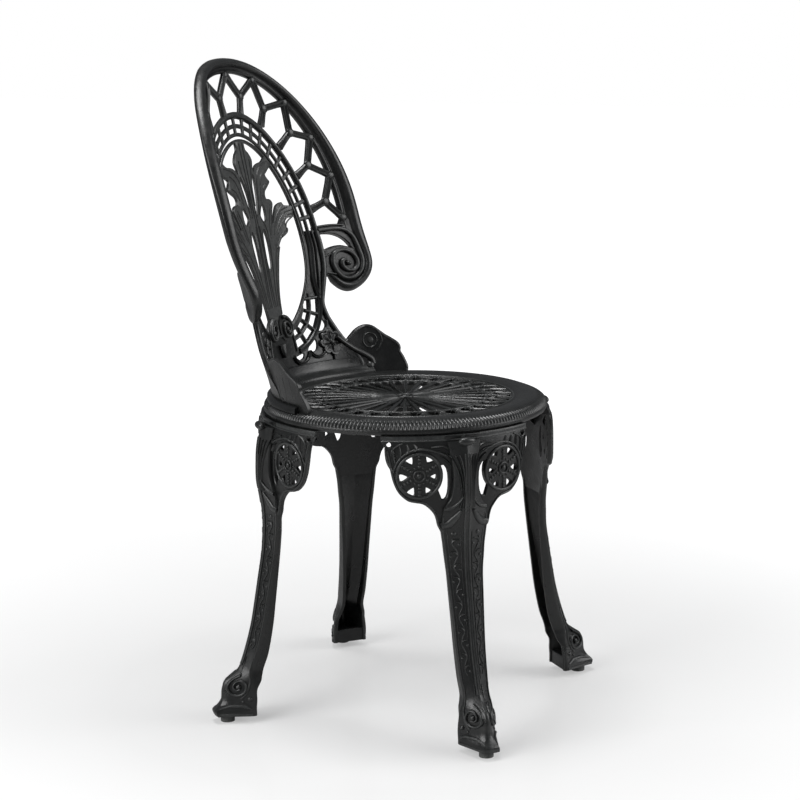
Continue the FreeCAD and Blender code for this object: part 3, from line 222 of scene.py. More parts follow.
class Stations:
    """Sizes given at a few heights, read smoothly between them."""

    def __init__(self, rows: Sequence[tuple[float, ...]]) -> None:
        """Prepares the values at every millimetre."""
        self.low = int(rows[0][0])
        self.table = []
        for z in range(self.low, int(rows[-1][0]) + 1):
            self.table.append([self._eased(rows, z, column) for column in range(1, len(rows[0]))])

    @staticmethod
    def _eased(rows: Sequence[tuple[float, ...]], z: float, column: int) -> float:
        """Cubic value of one column at a height."""
        i = 0
        while i < len(rows) - 2 and z > rows[i + 1][0]:
            i += 1

        def slope(k: int) -> float:
            """Slope from the two neighbours."""
            a, b = max(k - 1, 0), min(k + 1, len(rows) - 1)
            return (rows[b][column] - rows[a][column]) / (rows[b][0] - rows[a][0])

        span = rows[i + 1][0] - rows[i][0]
        t = (z - rows[i][0]) / span
        return (rows[i][column] * (2 * t ** 3 - 3 * t ** 2 + 1) + slope(i) * span * (t ** 3 - 2 * t ** 2 + t)
                + rows[i + 1][column] * (3 * t ** 2 - 2 * t ** 3) + slope(i + 1) * span * (t ** 3 - t ** 2))

    def at(self, z: float) -> list[float]:
        """All values at a height."""
        k = min(max(z - self.low, 0.0), len(self.table) - 1.001)
        i = int(k)
        return [a + (b - a) * (k - i) for a, b in zip(self.table[i], self.table[i + 1])]


# Faces that drawings are laid on

class Face:
    """A face of the casting: maps a drawing place and a height above the face to space."""

    def at(self, a: float, b: float, proud: float) -> Vector:
        """Point in millimetres."""
        raise NotImplementedError


@dataclass(frozen=True)
class BackSizes:
    """Driving sizes of the back."""

    top: float = 914.0
    half: float = 196.5
    centre: float = 678.0
    power: float = 2.15
    inner_top: float = 892.0
    inner_half: float = 170.5
    inner_power: float = 2.25
    band_half: float = 129.5
    band_centre: float = 655.0
    band_top: float = 838.0
    opening_half: float = 96.5
    opening_centre: float = 652.0
    opening_top: float = 795.0
    opening_bottom: float = 520.0
    cells: int = 10
    fan: Point = (30.0, 562.0)
    fan_cells: int = 4
    fan_step: float = 20.5


class BackFace(Face):
    """Hollow front of the back; drawn in x and z."""

    sizes = BackSizes()

    # Height, y of the hollow's middle, radius of the hollow
    SHAPE = Stations([
        (430, 179.3, 179.3), (444, 181.8, 181.8), (470, 186.6, 191), (494, 190.8, 215), (520, 194.8, 246),
        (560, 200.6, 280), (600, 206.8, 294), (650, 219.4, 300), (700, 231.8, 300), (800, 253.9, 300),
        (913, 274.5, 300), (930, 277.4, 300),
    ])

    # The middle of each half lies flatter than the plain hollow: by how much, the middle and the spread of that
    # hill across, what is taken off all over, and the share by height
    FLATTER = 5.7
    FLAT_HILL = (76.0, 42.0)
    FLAT_EDGE = 0.038
    FLAT = Stations([
        (430, 0), (560, 0), (590, 0), (650, 0.95), (700, 1), (800, 1), (840, 0.6), (870, 0), (930, 0),
    ])
    # The hoop lies further back, growing over these shares of the way out, heights and places across
    HOOP_BACK = 2.4
    HOOP_SHARES = (0.72, 0.9)
    HOOP_HEIGHTS = (610.0, 680.0)
    HOOP_SIDES = (0.0, 70.0)
    # What lies further back is also this many times as far outwards
    OUTWARD = 1.5
    # The volutes curl forward: by how much, over which places across, and round which height
    CURL = 7.0
    CURL_SIDES = (125.0, 160.0)
    CURL_HILL = (595.0, 42.0)

    def depth(self, x: float, z: float) -> float:
        """Y of the plain hollow."""
        centre, hollow = self.SHAPE.at(z)
        inside = min(abs(x), 0.75 * hollow)
        root = math.sqrt(hollow ** 2 - inside ** 2)
        return centre - hollow + root - inside / root * (abs(x) - inside)

    def at(self, a: float, b: float, proud: float) -> Vector:
        """Point above the face."""
        h = 0.5
        across = (self.depth(a + h, b) - self.depth(a - h, b)) / (2 * h)
        up = (self.depth(a, b + h) - self.depth(a, b - h)) / (2 * h)
        s = self.sizes
        side = abs(a)
        reach = ((side / s.half) ** s.power
                 + (max(b - s.centre, 0.0) / (s.top - s.centre)) ** s.power) ** (1 / s.power)
        ease = (self.FLATTER * max(0.0, bump(side, *self.FLAT_HILL) - self.FLAT_EDGE) * max(0.0, self.FLAT.at(b)[0])
                + self.HOOP_BACK * ramp(reach, *self.HOOP_SHARES) * ramp(b, *self.HOOP_HEIGHTS)
                * ramp(side, *self.HOOP_SIDES))
        curl = self.CURL * ramp(side, *self.CURL_SIDES) * bump(b, *self.CURL_HILL)
        place = Vector((a + math.copysign(self.OUTWARD * ease, a), self.depth(a, b) + ease - curl, b))
        return place + Vector((across, -1.0, up)).normalized() * proud


class SprayFace(BackFace):
    """Front of the leaf spray: set back behind the hollow at its stem, level with it at its tips."""

    SET_BACK = Stations([
        (470, -2.0), (520, -2.0), (540, -2.6), (560, -4.1), (580, -5.6), (600, -6.0), (620, -4.6), (650, -2.2),
        (690, -0.6), (720, 0.5), (756, 0.8), (800, 1.0),
    ])

    def at(self, a: float, b: float, proud: float) -> Vector:
        """Point above the spray's front."""
        return super().at(a, b, proud + self.SET_BACK.at(b)[0])


class WingFace(Face):
    """Leaning front of foot and wings; drawn in millimetres along the ring from the rear, and z."""

    RADIUS = 180.4
    LEAN = 0.2
    # Radius at which the millimetres along the ring are counted, and their number in a degree
    RING = 190.0
    DEGREE = math.radians(1) * RING

    def __init__(self, rear: float = 0.0) -> None:
        """Takes the distance of the face behind the front, 0 for the front itself."""
        self.rear = rear

    def at(self, a: float, b: float, proud: float) -> Vector:
        """Point above the front, or behind the rear face."""
        turn = a / self.RING
        step = self.rear + proud if self.rear else -proud
        radius = self.RADIUS + self.LEAN * (b - SEAT_TOP) + step
        return Vector((radius * math.sin(turn), radius * math.cos(turn), b))


class DeckFace(Face):
    """Flat face that looks up; drawn in x and y."""

    def __init__(self, height: float) -> None:
        """Takes the height of the face."""
        self.height = height

    def at(self, a: float, b: float, proud: float) -> Vector:
        """Point above the deck."""
        return Vector((a, b, self.height + proud))


# Flat face at height 0, which leaves places as they are
PLAIN = DeckFace(0.0)


class DrumFace(Face):
    """Outer face of a leg's bracket; drawn in arc length from the corner and z, in the leg's own frame."""

    RADIUS = 207.0
    # The drum draws in under the seat: by how much, and between which heights
    DRAWN_IN = 2.6
    HEIGHTS = (398.0, 422.0)

    def at(self, a: float, b: float, proud: float) -> Vector:
        """Point above the drum."""
        turn = a / self.RADIUS
        radius = self.RADIUS + proud - self.DRAWN_IN * ramp(b, *self.HEIGHTS) ** 2
        return Vector((radius * math.cos(turn), radius * math.sin(turn), b))


class FlangeFace(Face):
    """One flange of a leg's shaft; drawn from 0 at the corner to 1 at the edge, and z, in the leg's own frame."""

    # Height, x of the corner, half width of its nose, x of the edge, half width there, x of the inner side
    SHAPE = Stations([
        (10, 294.0, 10.0, 247.0, 27.0, 240.0), (17, 296.0, 9.0, 247.0, 27.0, 240.0),
        (23, 290.0, 6.5, 246.0, 27.0, 240.0), (32, 284.5, 4.5, 245.0, 26.5, 239.0),
        (47, 283.0, 3.0, 245.0, 25.0, 238.0), (59, 278.0, 2.6, 244.5, 22.5, 231.0),
        (66, 268.5, 2.5, 246.0, 20.5, 229.0), (75, 257.0, 2.5, 245.0, 18.7, 226.0),
        (97, 247.5, 2.5, 237.0, 19.6, 218.5), (137, 236.0, 2.5, 226.5, 21.3, 211.0),
        (171, 229.5, 2.5, 220.5, 22.7, 207.0), (205, 223.5, 2.5, 214.5, 24.5, 203.5),
        (240, 217.5, 2.5, 208.5, 26.4, 200.0), (262, 215.6, 2.5, 206.8, 28.8, 198.6),
        (278, 214.7, 2.5, 205.8, 30.4, 198.0), (305, 216.0, 2.5, 206.4, 33.5, 199.0),
        (328, 219.5, 2.5, 208.6, 30.0, 200.5), (343, 222.0, 2.5, 211.5, 21.5, 202.0),
        (365, 222.0, 3.0, 212.5, 17.6, 202.0), (390, 221.0, 3.0, 211.0, 18.6, 202.0),
        (421, 215.0, 3.0, 207.0, 24.0, 202.0),
    ])

    def __init__(self, side: int) -> None:
        """Takes the side of the corner, 1 or -1."""
        self.side = side

    def at(self, a: float, b: float, proud: float) -> Vector:
        """Point above the flange."""
        corner, nose, edge, half, _ = self.SHAPE.at(b)
        run = half - nose
        drop = corner - edge
        length = math.hypot(run, drop)
        return Vector((corner - drop * a + run / length * proud,
                       self.side * (nose + run * a + drop / length * proud), b))


# Building casting meshes

class Casting:
    """A cast piece in the making: closed shells in millimetres, with a crest value that sets the paint's painted
    shade in the hollows and its wear and painted highlight on the crests.
    """

    def __init__(self) -> None:
        """Starts an empty mesh."""
        self.mesh = bmesh.new()
        self.crest = self.mesh.verts.layers.float.new("crest")

    def loft(self, face: Face, rows: Sequence[Section], ring: bool = False) -> None:
        """Closed skin through sections.

        Args:
            face: what the sections are drawn on.
            rows: sections with the same number of places (a, b, height, crest).
            ring: True if the last section joins the first.
        """
        spans = len(rows) if ring else len(rows) - 1
        count = len(rows[0])
        made = bmesh.ops.create_grid(self.mesh, x_segments=spans, y_segments=count, size=1.0)["verts"]
        for vert in made:
            i = round((vert.co.x + 1) / 2 * spans) % len(rows)
            j = round((vert.co.y + 1) / 2 * count) % count
            a, b, proud, crest = rows[i][j]
            vert.co = face.at(a, b, proud)
            vert[self.crest] = crest
        marked = set(made)
        bmesh.ops.remove_doubles(self.mesh, verts=made, dist=1e-4)
        if not ring:
            edges = {edge for vert in marked if vert.is_valid for edge in vert.link_edges if edge.is_boundary}
            bmesh.ops.holes_fill(self.mesh, edges=list(edges), sides=0)

    def patch(self, face: Face, left: Sequence[Point], right: Sequence[Point],
              relief: Callable[[float, float], float], back: float, along: int, across: int = 10,
              ring: bool = False) -> None:
        """Ruled piece between two edges; the crest follows its relief.

        Args:
            face: what the edges are drawn on.
            left, right: the two edges, from foot to tip.
            relief: height at 0 to 1 along and 0 to 1 across.
            back: height of the flat rear.
            along, across: number of spans; along 0 keeps the edges' own places, which then pair up.
            ring: True for edges that close on themselves.
        """
        first = resampled(left, along) if along else list(left)
        second = resampled(right, along) if along else list(right)
        along = len(first) - 1
        if ring:
            first, second = first[:-1], second[:-1]
        rows = []
        for i, (p, q) in enumerate(zip(first, second)):
            heights = [relief(i / along, j / across) for j in range(across + 1)]
            low, high = min(heights), max(heights)
            front = [(j / across, height, (height - low) / max(high - low, 1.0))
                     for j, height in enumerate(heights)]
            rear = [(v, back, 0.0) for v in (0.98, 0.67, 0.33, 0.02)]
            rows.append([(p[0] + (q[0] - p[0]) * v, p[1] + (q[1] - p[1]) * v, height, crest)
                         for v, height, crest in front + rear])
        self.loft(face, rows, ring)

    def plate(self, face: Face, outline: Sequence[Point], holes: Sequence[Sequence[Point]], front: float,
              back: float, cut: Point, chamfer: float = 0.8, crest_value: float = 0.25) -> None:
        """Pierced sheet with chamfered front edges.

        Args:
            face: what the outline is drawn on.
            outline, holes: closed loops, the first place not repeated.
            front, back: heights of the two faces.
            cut: distances of the cuts that let the sheet bend, along a and b.
            chamfer: size of the front edges' chamfer.
            crest_value: crest value of the front, which sets its painted shade, wear and painted highlight.
        """
        sheet = bmesh.new()
        crest = sheet.verts.layers.float.new("crest")
        for loop in [outline] + list(holes):
            verts = [sheet.verts.new((a, b, 0.0)) for a, b in loop]
            for i, vert in enumerate(verts):
                sheet.edges.new((vert, verts[(i + 1) % len(verts)]))
        bmesh.ops.triangle_fill(sheet, edges=sheet.edges[:], use_beauty=True, normal=(0, 0, 1))
        top = bmesh.ops.extrude_face_region(sheet, geom=sheet.faces[:])["geom"]
        raised = [v for v in top if isinstance(v, bmesh.types.BMVert)]
        faces = [f for f in top if isinstance(f, bmesh.types.BMFace)]
        bmesh.ops.translate(sheet, verts=raised, vec=(0, 0, front - back - chamfer))
        bmesh.ops.recalc_face_normals(sheet, faces=sheet.faces[:])
        bmesh.ops.inset_region(sheet, faces=faces, thickness=chamfer, depth=chamfer, use_boundary=True,
                               use_even_offset=True)
        for axis in (0, 1):
            low = min(v.co[axis] for v in sheet.verts)
            high = max(v.co[axis] for v in sheet.verts)
            normal = Vector((1, 0, 0)) if axis == 0 else Vector((0, 1, 0))
            for k in range(1, math.ceil((high - low) / cut[axis])):
                bmesh.ops.bisect_plane(sheet, geom=sheet.verts[:] + sheet.edges[:] + sheet.faces[:], dist=1e-4,
                                       plane_co=normal * (low + k * cut[axis]), plane_no=normal)
        for vert in sheet.verts:
            height = back + vert.co.z
            vert[crest] = crest_value if height > front - 0.1 else 0.0
            vert.co = face.at(vert.co.x, vert.co.y, height)
        bmesh.ops.recalc_face_normals(sheet, faces=sheet.faces[:])
        self.absorb(sheet)

    def revolve(self, profile: Sequence[Spot], reach: float, count: int) -> None:
        """Profile of radius, height and crest turned round the seat's axis.

        Args:
            profile: the closed section.
            reach: degrees to each side of the rear, 180 for a ring.
            count: number of spans.
        """
        ring = reach == 180.0
        rows = []
        for i in range(count if ring else count + 1):
            turn = math.radians(reach * (2 * i / count - 1))
            rows.append([(radius * math.sin(turn), radius * math.cos(turn), height, crest)
                         for radius, height, crest in profile])
        self.loft(PLAIN, rows, ring)

    def solid(self, matrix: Matrix, kind: str, **sizes: float) -> list[bmesh.types.BMVert]:
        """Plain solid from a bmesh create operator, placed by a matrix."""
        operator = {"box": bmesh.ops.create_cube, "cylinder": bmesh.ops.create_cone,
                    "ball": bmesh.ops.create_uvsphere}[kind]
        return operator(self.mesh, matrix=matrix, **sizes)["verts"]

    def absorb(self, other: bmesh.types.BMesh) -> None:
        """Adds another mesh and frees it."""
        carrier = bpy.data.meshes.new("carrier")
        other.to_mesh(carrier)
        other.free()
        self.mesh.from_mesh(carrier)
        bpy.data.meshes.remove(carrier)

    def add_mirror(self) -> None:
        """Adds the mirror image of all that is here, across x = 0."""
        copy = bmesh.ops.duplicate(self.mesh, geom=self.mesh.verts[:] + self.mesh.edges[:] + self.mesh.faces[:])
        verts = [g for g in copy["geom"] if isinstance(g, bmesh.types.BMVert)]
        faces = [g for g in copy["geom"] if isinstance(g, bmesh.types.BMFace)]
        bmesh.ops.scale(self.mesh, vec=(-1, 1, 1), verts=verts)
        bmesh.ops.reverse_faces(self.mesh, faces=faces)

    @contextmanager
    def both_sides(self) -> Iterator["Casting"]:
        """Gives a casting for the right-hand side, then takes it in with its mirror image."""
        right = Casting()
        yield right
        right.add_mirror()
        self.absorb(right.mesh)

    def finish(self, name: str, turn: float = 0.0) -> bpy.types.Object:
        """Mesh object in the frame's metres.

        Args:
            name: name of the object.
            turn: degrees round the seat's axis, for a leg drawn in its own frame.
        """
        mesh = bpy.data.meshes.new(name)
        work = self.mesh.copy()
        bmesh.ops.recalc_face_normals(work, faces=work.faces[:])
        place = (Matrix.Scale(MM, 4) @ Matrix.Translation((0, -SETBACK, 0))
                 @ Matrix.Rotation(math.radians(turn), 4, "Z"))
        bmesh.ops.transform(work, matrix=place, verts=work.verts[:])
        work.to_mesh(mesh)
        work.free()
        for polygon in mesh.polygons:
            polygon.use_smooth = True
        mesh.set_sharp_from_angle(angle=math.radians(CREASE))
        obj = bpy.data.objects.new(name, mesh)
        bpy.context.scene.collection.objects.link(obj)
        log.info("%s: %d faces", name, len(mesh.polygons))
        return obj


@dataclass(frozen=True)
class Pen:
    """Draws bars and knobs on one face of a casting.

    Attributes:
        casting, face: what is drawn on.
        stretch: size of one unit of a against one of b, for faces whose a isn't in millimetres.
        side: -1 lays a right-hand drawing on the left.
    """

    casting: Casting
    face: Face
    stretch: float = 1.0
    side: int = 1

    def trace(self, path: Sequence[Point], bar: Bar, taper: Optional[Taper] = None, ring: bool = False) -> None:
        """Bar along a finished path.

        Args:
            path: places; for a ring the last repeats the first.
            bar: the section.
            taper: width factor at 0 to 1 along the path.
            ring: True for a closed path.
        """
        points = [(self.side * a, b) for a, b in (path[:-1] if ring else path)]
        count = len(points)
        rows = []
        for i, (a, b) in enumerate(points):
            before = points[i - 1] if ring or i else points[0]
            after = points[(i + 1) % count] if ring or i < count - 1 else points[-1]
            da = (after[0] - before[0]) * self.stretch
            db = after[1] - before[1]
            length = math.hypot(da, db) or 1.0
            scale = taper(i / (count - 1)) if taper else 1.0
            rows.append([(a - db / length * across / self.stretch, b + da / length * across, proud, crest)
                         for across, proud, crest in bar.section(scale)])
        self.casting.loft(self.face, rows, ring)

    def stroke(self, points: Sequence[Point], bar: Bar, step: float = 2.5, taper: Optional[Taper] = None) -> None:
        """Bar along a smooth path through control points."""
        self.trace(curve(points, step), bar, taper)

    def knob(self, place: Point, radius: float, base: float, rise: float, detail: int = 10) -> None:
        """Rounded knob."""
        made = bmesh.ops.create_uvsphere(self.casting.mesh, u_segments=detail, v_segments=max(5, detail // 2 + 1),
                                         radius=1.0)["verts"]
        for vert in made:
            x, y, z = vert.co
            vert[self.casting.crest] = max(z, 0.0)
            vert.co = self.face.at(self.side * place[0] + x * radius / self.stretch, place[1] + y * radius,
                                   base + z * rise)


# Finishes

class Nodes:
    """Small helper that adds and links shader nodes."""

    def __init__(self, name: str) -> None:
        """Starts a material with an output and a Principled shader."""
        self.material = bpy.data.materials.new(name)
        self.material.use_nodes = True
        self.tree = self.material.node_tree
        self.shader = self.tree.nodes["Principled BSDF"]

    def add(self, kind: str, **values: object) -> bpy.types.Node:
        """Node with properties and inputs set; inputs are named with spaces as underscores."""
        node = self.tree.nodes.new(kind)
        for key, value in values.items():
            if hasattr(node, key):
                setattr(node, key, value)
            else:
                self.feed(value, node.inputs[key.replace("_", " ")])
        return node

    def feed(self, value: object, socket: bpy.types.NodeSocket) -> None:
        """Links a socket to another, or sets it to a plain value."""
        if isinstance(value, bpy.types.NodeSocket):
            self.tree.links.new(value, socket)
        else:
            socket.default_value = value

    def shade(self, **inputs: object) -> bpy.types.Material:
        """Feeds the Principled shader and gives the material; inputs are named as in add."""
        for key, value in inputs.items():
            self.feed(value, self.shader.inputs[key.replace("_", " ")])
        return self.material

    def place(self) -> bpy.types.NodeSocket:
        """Object coordinates."""
        return self.add("ShaderNodeTexCoord").outputs["Object"]

    def noise(self, scale: float, detail: float) -> bpy.types.NodeSocket:
        """Noise over object coordinates, its scale in waves per metre."""
        node = self.add("ShaderNodeTexNoise", Vector=self.place(), Scale=scale, Detail=detail, Roughness=0.55)
        return node.outputs["Fac"]

    def remap(self, source: bpy.types.NodeSocket, low: float, high: float, to_low: float = 0.0,
              to_high: float = 1.0) -> bpy.types.NodeSocket:
        """Value moved from one range to another."""
        return self.add("ShaderNodeMapRange", Value=source, From_Min=low, From_Max=high, To_Min=to_low,
                        To_Max=to_high).outputs["Result"]

    def product(self, first: bpy.types.NodeSocket, second: bpy.types.NodeSocket) -> bpy.types.NodeSocket:
        """Product of two values."""
        node = self.add("ShaderNodeMath", operation="MULTIPLY")
        self.feed(first, node.inputs[0])
        self.feed(second, node.inputs[1])
        return node.outputs[0]

    def blend(self, factor: bpy.types.NodeSocket, first: object, second: object) -> bpy.types.NodeSocket:
        """Mix of two colours, each a socket or a colour."""
        node = self.add("ShaderNodeMix", data_type="RGBA")
        self.feed(factor, node.inputs["Factor"])
        for key, value in (("A", first), ("B", second)):
            self.feed(value, [s for s in node.inputs if s.name == key and s.type == "RGBA"][0])
        return [s for s in node.outputs if s.type == "RGBA"][0]

    def bump(self, height: bpy.types.NodeSocket, strength: float, distance: float,
             under: Optional[bpy.types.NodeSocket] = None) -> bpy.types.NodeSocket:
        """Bump from a height, over another one if given."""
        node = self.add("ShaderNodeBump", Height=height, Strength=strength, Distance=distance)
        if under:
            self.feed(under, node.inputs["Normal"])
        return node.outputs["Normal"]


@dataclass(frozen=True)
class CastPaint:
    """Satin paint over sand-cast iron, with painted shade in the hollows and a paler colour on the crests that is
    part wear, part painted highlight.
    """

    body: Colour = (0.0125, 0.0133, 0.0131, 1.0)
    # Painted shade: the colour laid in the hollows, where the crest value is low
    hollow: Colour = (0.0055, 0.0060, 0.0059, 1.0)
    # Paler colour of the high crests: wear, and a painted highlight along the ridges
    rubbed_and_highlight: Colour = (0.052, 0.055, 0.054, 1.0)
    dust: Colour = (0.022, 0.0225, 0.021, 1.0)
    roughness: float = 0.31
    specular: float = 0.56
    mottle_scale: float = 55.0
    grain_scale: float = 230.0
    speck_scale: float = 900.0

    def make(self, name: str) -> bpy.types.Material:
        """Builds the material."""
        n = Nodes(name)
        crest = n.add("ShaderNodeAttribute", attribute_name="crest").outputs["Fac"]
        mottle = n.noise(self.mottle_scale, 5.0)
        grain = n.noise(self.grain_scale, 4.0)
        speck = n.noise(self.speck_scale, 2.0)
        # Low crests take the painted shade of the hollow colour; high crests take the paler colour, broken by the
        # grain, as wear and painted highlight
        wear_and_highlight = n.product(n.remap(crest, 0.7, 1.0, 0.0, 0.85), n.remap(grain, 0.35, 0.7, 0.25, 1.0))
        base = n.blend(n.remap(crest, 0.0, 0.55), self.hollow, self.body)
        base = n.blend(wear_and_highlight, base, self.rubbed_and_highlight)
        base = n.blend(n.remap(mottle, 0.5, 0.8, 0.0, 0.35), base, self.dust)
        return n.shade(Base_Color=base, Specular_IOR_Level=self.specular,
                       Roughness=n.remap(mottle, 0.3, 0.7, self.roughness - 0.06, self.roughness + 0.1),
                       Normal=n.bump(grain, 0.3, 0.0009, n.bump(speck, 0.35, 0.0004)))


@dataclass(frozen=True)
class ZincPlate:
    """Dull zinc on bolts and washers."""

    bright: Colour = (0.42, 0.42, 0.40, 1.0)
    dull: Colour = (0.25, 0.25, 0.25, 1.0)

    def make(self, name: str) -> bpy.types.Material:
        """Builds the material."""
        n = Nodes(name)
        patch = n.noise(400.0, 3.0)
        return n.shade(Base_Color=n.blend(n.remap(patch, 0.35, 0.7), self.bright, self.dull), Metallic=1.0,
                       Roughness=n.remap(patch, 0.3, 0.7, 0.32, 0.55),
                       Normal=n.bump(n.noise(1500.0, 2.0), 0.2, 0.0002))


@dataclass(frozen=True)
class GlideMatter:
    """Grey moulded plastic of the glides, scuffed over their lowest millimetres."""

    tint: Colour = (0.075, 0.078, 0.076, 1.0)
    scuffed: Colour = (0.19, 0.19, 0.18, 1.0)
    scuff_height: float = 0.005

    def make(self, name: str) -> bpy.types.Material:
        """Builds the material."""
        n = Nodes(name)
        height = n.add("ShaderNodeSeparateXYZ", Vector=n.place()).outputs["Z"]
        scuff = n.product(n.remap(height, 0.0, self.scuff_height, 1.0, 0.2), n.remap(n.noise(500.0, 4.0), 0.4, 0.65))
        return n.shade(Base_Color=n.blend(scuff, self.tint, self.scuffed), Roughness=0.55,
                       Normal=n.bump(n.noise(1200.0, 2.0), 0.25, 0.0002))


@dataclass(frozen=True)
class Finishes:
    """The chair's materials."""

    paint: bpy.types.Material
    leaf: bpy.types.Material
    zinc: bpy.types.Material
    glide: bpy.types.Material

    @classmethod
    def make(cls) -> "Finishes":
        """Builds all of them; the leaf spray gets a paler copy of the paint, a painted highlight for the stronger
        light on its fronds.
        """
        leaf = CastPaint(body=(0.026, 0.0272, 0.0268, 1.0), hollow=(0.0095, 0.0102, 0.0100, 1.0),
                         rubbed_and_highlight=(0.078, 0.081, 0.079, 1.0), dust=(0.04, 0.041, 0.039, 1.0), roughness=0.36)
        return cls(CastPaint().make("cast_paint"), leaf.make("leaf_paint_lit"), ZincPlate().make("zinc"),
                   GlideMatter().make("glide_plastic"))


class Assembly:
    """A sub-assembly of the chair that builds its pieces and dresses them."""

    def __init__(self, finishes: Finishes) -> None:
        """Takes the shared finishes."""
        self.finishes = finishes

    def dress(self, obj: bpy.types.Object, node: str, paint: bpy.types.Material) -> None:
        """Paints a built piece, puts it on the body and lets it stand for its CAD node."""
        obj.data.materials.append(paint)
        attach(obj, "root")
        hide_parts(node)


# Seat

@dataclass(frozen=True)
class SeatSizes:
    """Driving sizes of the seat."""

    field: float = 151.0
    hub: float = 52.0
    ring: float = 115.0
    fork: float = 129.0
    spokes: int = 32
    flutes: int = 224
    flute_depth: float = 1.8
    flute_steps: int = 5
    boss_ring: float = 172.0
    boss_apart: float = 28.0
    boss_radius: float = 9.0
    boss_depth: float = 10.0


class Seat(Assembly):
    """Round pierced seat with a fluted, down-turned rim."""

    sizes = SeatSizes()
    deck = DeckFace(SEAT_TOP - 1.0)

    # Section of the rim: radius, height, share of the flutes, crest
    RIM = (
        (151.2, 436.5, 0, 0), (151, 443.2, 0, 0), (151.6, 444.8, 0, 0.7), (153, 445.6, 0, 1),
        (154.6, 445.2, 0, 0.7), (155.4, 444.4, 0, 0.1), (157, 444.6, 0, 0.1), (160.5, 445.8, 0, 0.3),
        (168, 447.2, 0, 0.35), (177, 447.8, 0, 0.35), (184.5, 446.8, 0, 0.4), (188.4, 445.2, 0.3, 0.2),
        (191.5, 444.4, 1, 0.6), (195, 443, 1, 0.7), (197.6, 441, 1, 0.7), (199.2, 438.6, 0.9, 0.5),
        (199.9, 436.6, 0.4, 0.3), (199.4, 435.4, 0, 0.1), (200, 434, 0, 0.4), (200, 431, 0, 0.4),
        (199.4, 428.8, 0, 0.3), (198.3, 428, 0, 0), (196, 428, 0, 0), (195.5, 429, 0, 0), (195, 434.5, 0, 0),
        (193.5, 436, 0, 0), (170, 436, 0, 0),
    )
    # Section of the sunk hub and its button: radius, height, crest
    HUB = ((0.4, 443.2, 0.3), (12, 443, 0.3), (15, 440.6, 0), (40, 440.2, 0), (50.4, 440.2, 0), (52, 439.8, 0),
           (52, 438, 0), (50, 437, 0), (0.4, 437, 0))
    # A flute sinks the rim's surface inwards and down by these shares of its depth
    FLUTE_SINKS = (0.75, 0.6)
    # Rear of the pierced work, and its bars
    BOTTOM = -5.6
    SPOKE = Bar(Profile.TWIN, 5.4, -0.8, 1.8, BOTTOM)
    SPOKE_FOOT = Bar(Profile.RIDGE, 5.0, -1.6, 2.6, -3.6)
    SPOKE_END = Bar(Profile.TWIN, 5.2, -0.8, 1.8, BOTTOM)
    BRANCH = Bar(Profile.RIDGE, 4.4, -1.2, 2.2, BOTTOM)
    LEAF = Bar(Profile.ROLL, 2.6, -1.4, 1.9, -5.0)

    def build(self) -> None:
        """Makes rim and pierced field."""
        for name, methods in (("seat_rim", (self.rim, self.bosses)), ("seat_field", (self.lattice, self.rings))):
            casting = Casting()
            for method in methods:
                method(casting)
            self.dress(casting.finish(name), "seat", self.finishes.paint)

    def rim(self, casting: Casting) -> None:
        """Revolved rim; flutes run over its rounded upper edge."""
        s = self.sizes
        count = s.flutes * s.flute_steps
        rows = []
        for i in range(count):
            turn = math.tau * i / count
            wave = abs(math.sin(s.flutes * turn / 2))
            row = []
            for radius, height, share, crest in self.RIM:
                sink = share * (1.0 - wave) * s.flute_depth
                reach = radius - sink * self.FLUTE_SINKS[0]
                row.append((reach * math.cos(turn), reach * math.sin(turn), height - sink * self.FLUTE_SINKS[1],
                            crest * (1 - share) + share * wave ** 2 * 0.95))
            rows.append(row)
        casting.loft(PLAIN, rows, ring=True)

    def bosses(self, casting: Casting) -> None:
        """Round bosses under the rim for the leg bolts."""
        s = self.sizes
        middle = SEAT_TOP - 11.0
        for angle in LEG_ANGLES.values():
            for sign in (-1, 1):
                place = (Matrix.Rotation(math.radians(angle), 4, "Z")
                         @ Matrix.Translation((s.boss_ring, sign * s.boss_apart / 2, middle)))
                casting.solid(place, "cylinder", cap_ends=True, segments=28, radius1=s.boss_radius,
                              radius2=s.boss_radius, depth=s.boss_depth)

    def lattice(self, casting: Casting) -> None:
        """Spokes, scalloped ring and forked outer lattice, one sector turned round."""
        s = self.sizes
        step = 360 / s.spokes
        sector = Casting()
        pen = Pen(sector, self.deck)

        def at(radius: float, turn: float) -> Point:
            """Place at a radius and a turn in sectors."""
            return polar(radius, turn * step)

        pen.trace(line(at(s.hub - 4, 0), at(s.ring, 0), 8), self.SPOKE, fade(0.82, 1.12))
        pen.trace(line(at(13, 0), at(s.hub - 2, 0), 6), self.SPOKE_FOOT, fade(0.4, 1.0))
        pen.trace(line(at(s.ring, 0), at(s.fork, 0), 5), self.SPOKE_END)
        for sign in (-1, 1):
            pen.stroke([at(s.fork - 1.5, 0), at(s.fork + 7, sign * 0.13), at(s.field, sign * 0.44)], self.BRANCH, 3)
            # Leaf-shaped end beside the fork
            pen.stroke([at(s.ring + 3, sign * 0.06), at(s.ring + 8, sign * 0.24), at(s.fork - 2, sign * 0.32)],
                       self.LEAF, taper=fade(1.15, 0.55))
        pen.knob(at(s.fork, 0), 3.4, -0.8, 2.2)
        pen.knob(at(s.field - 3, 0.5), 2.8, -1.2, 2.2)
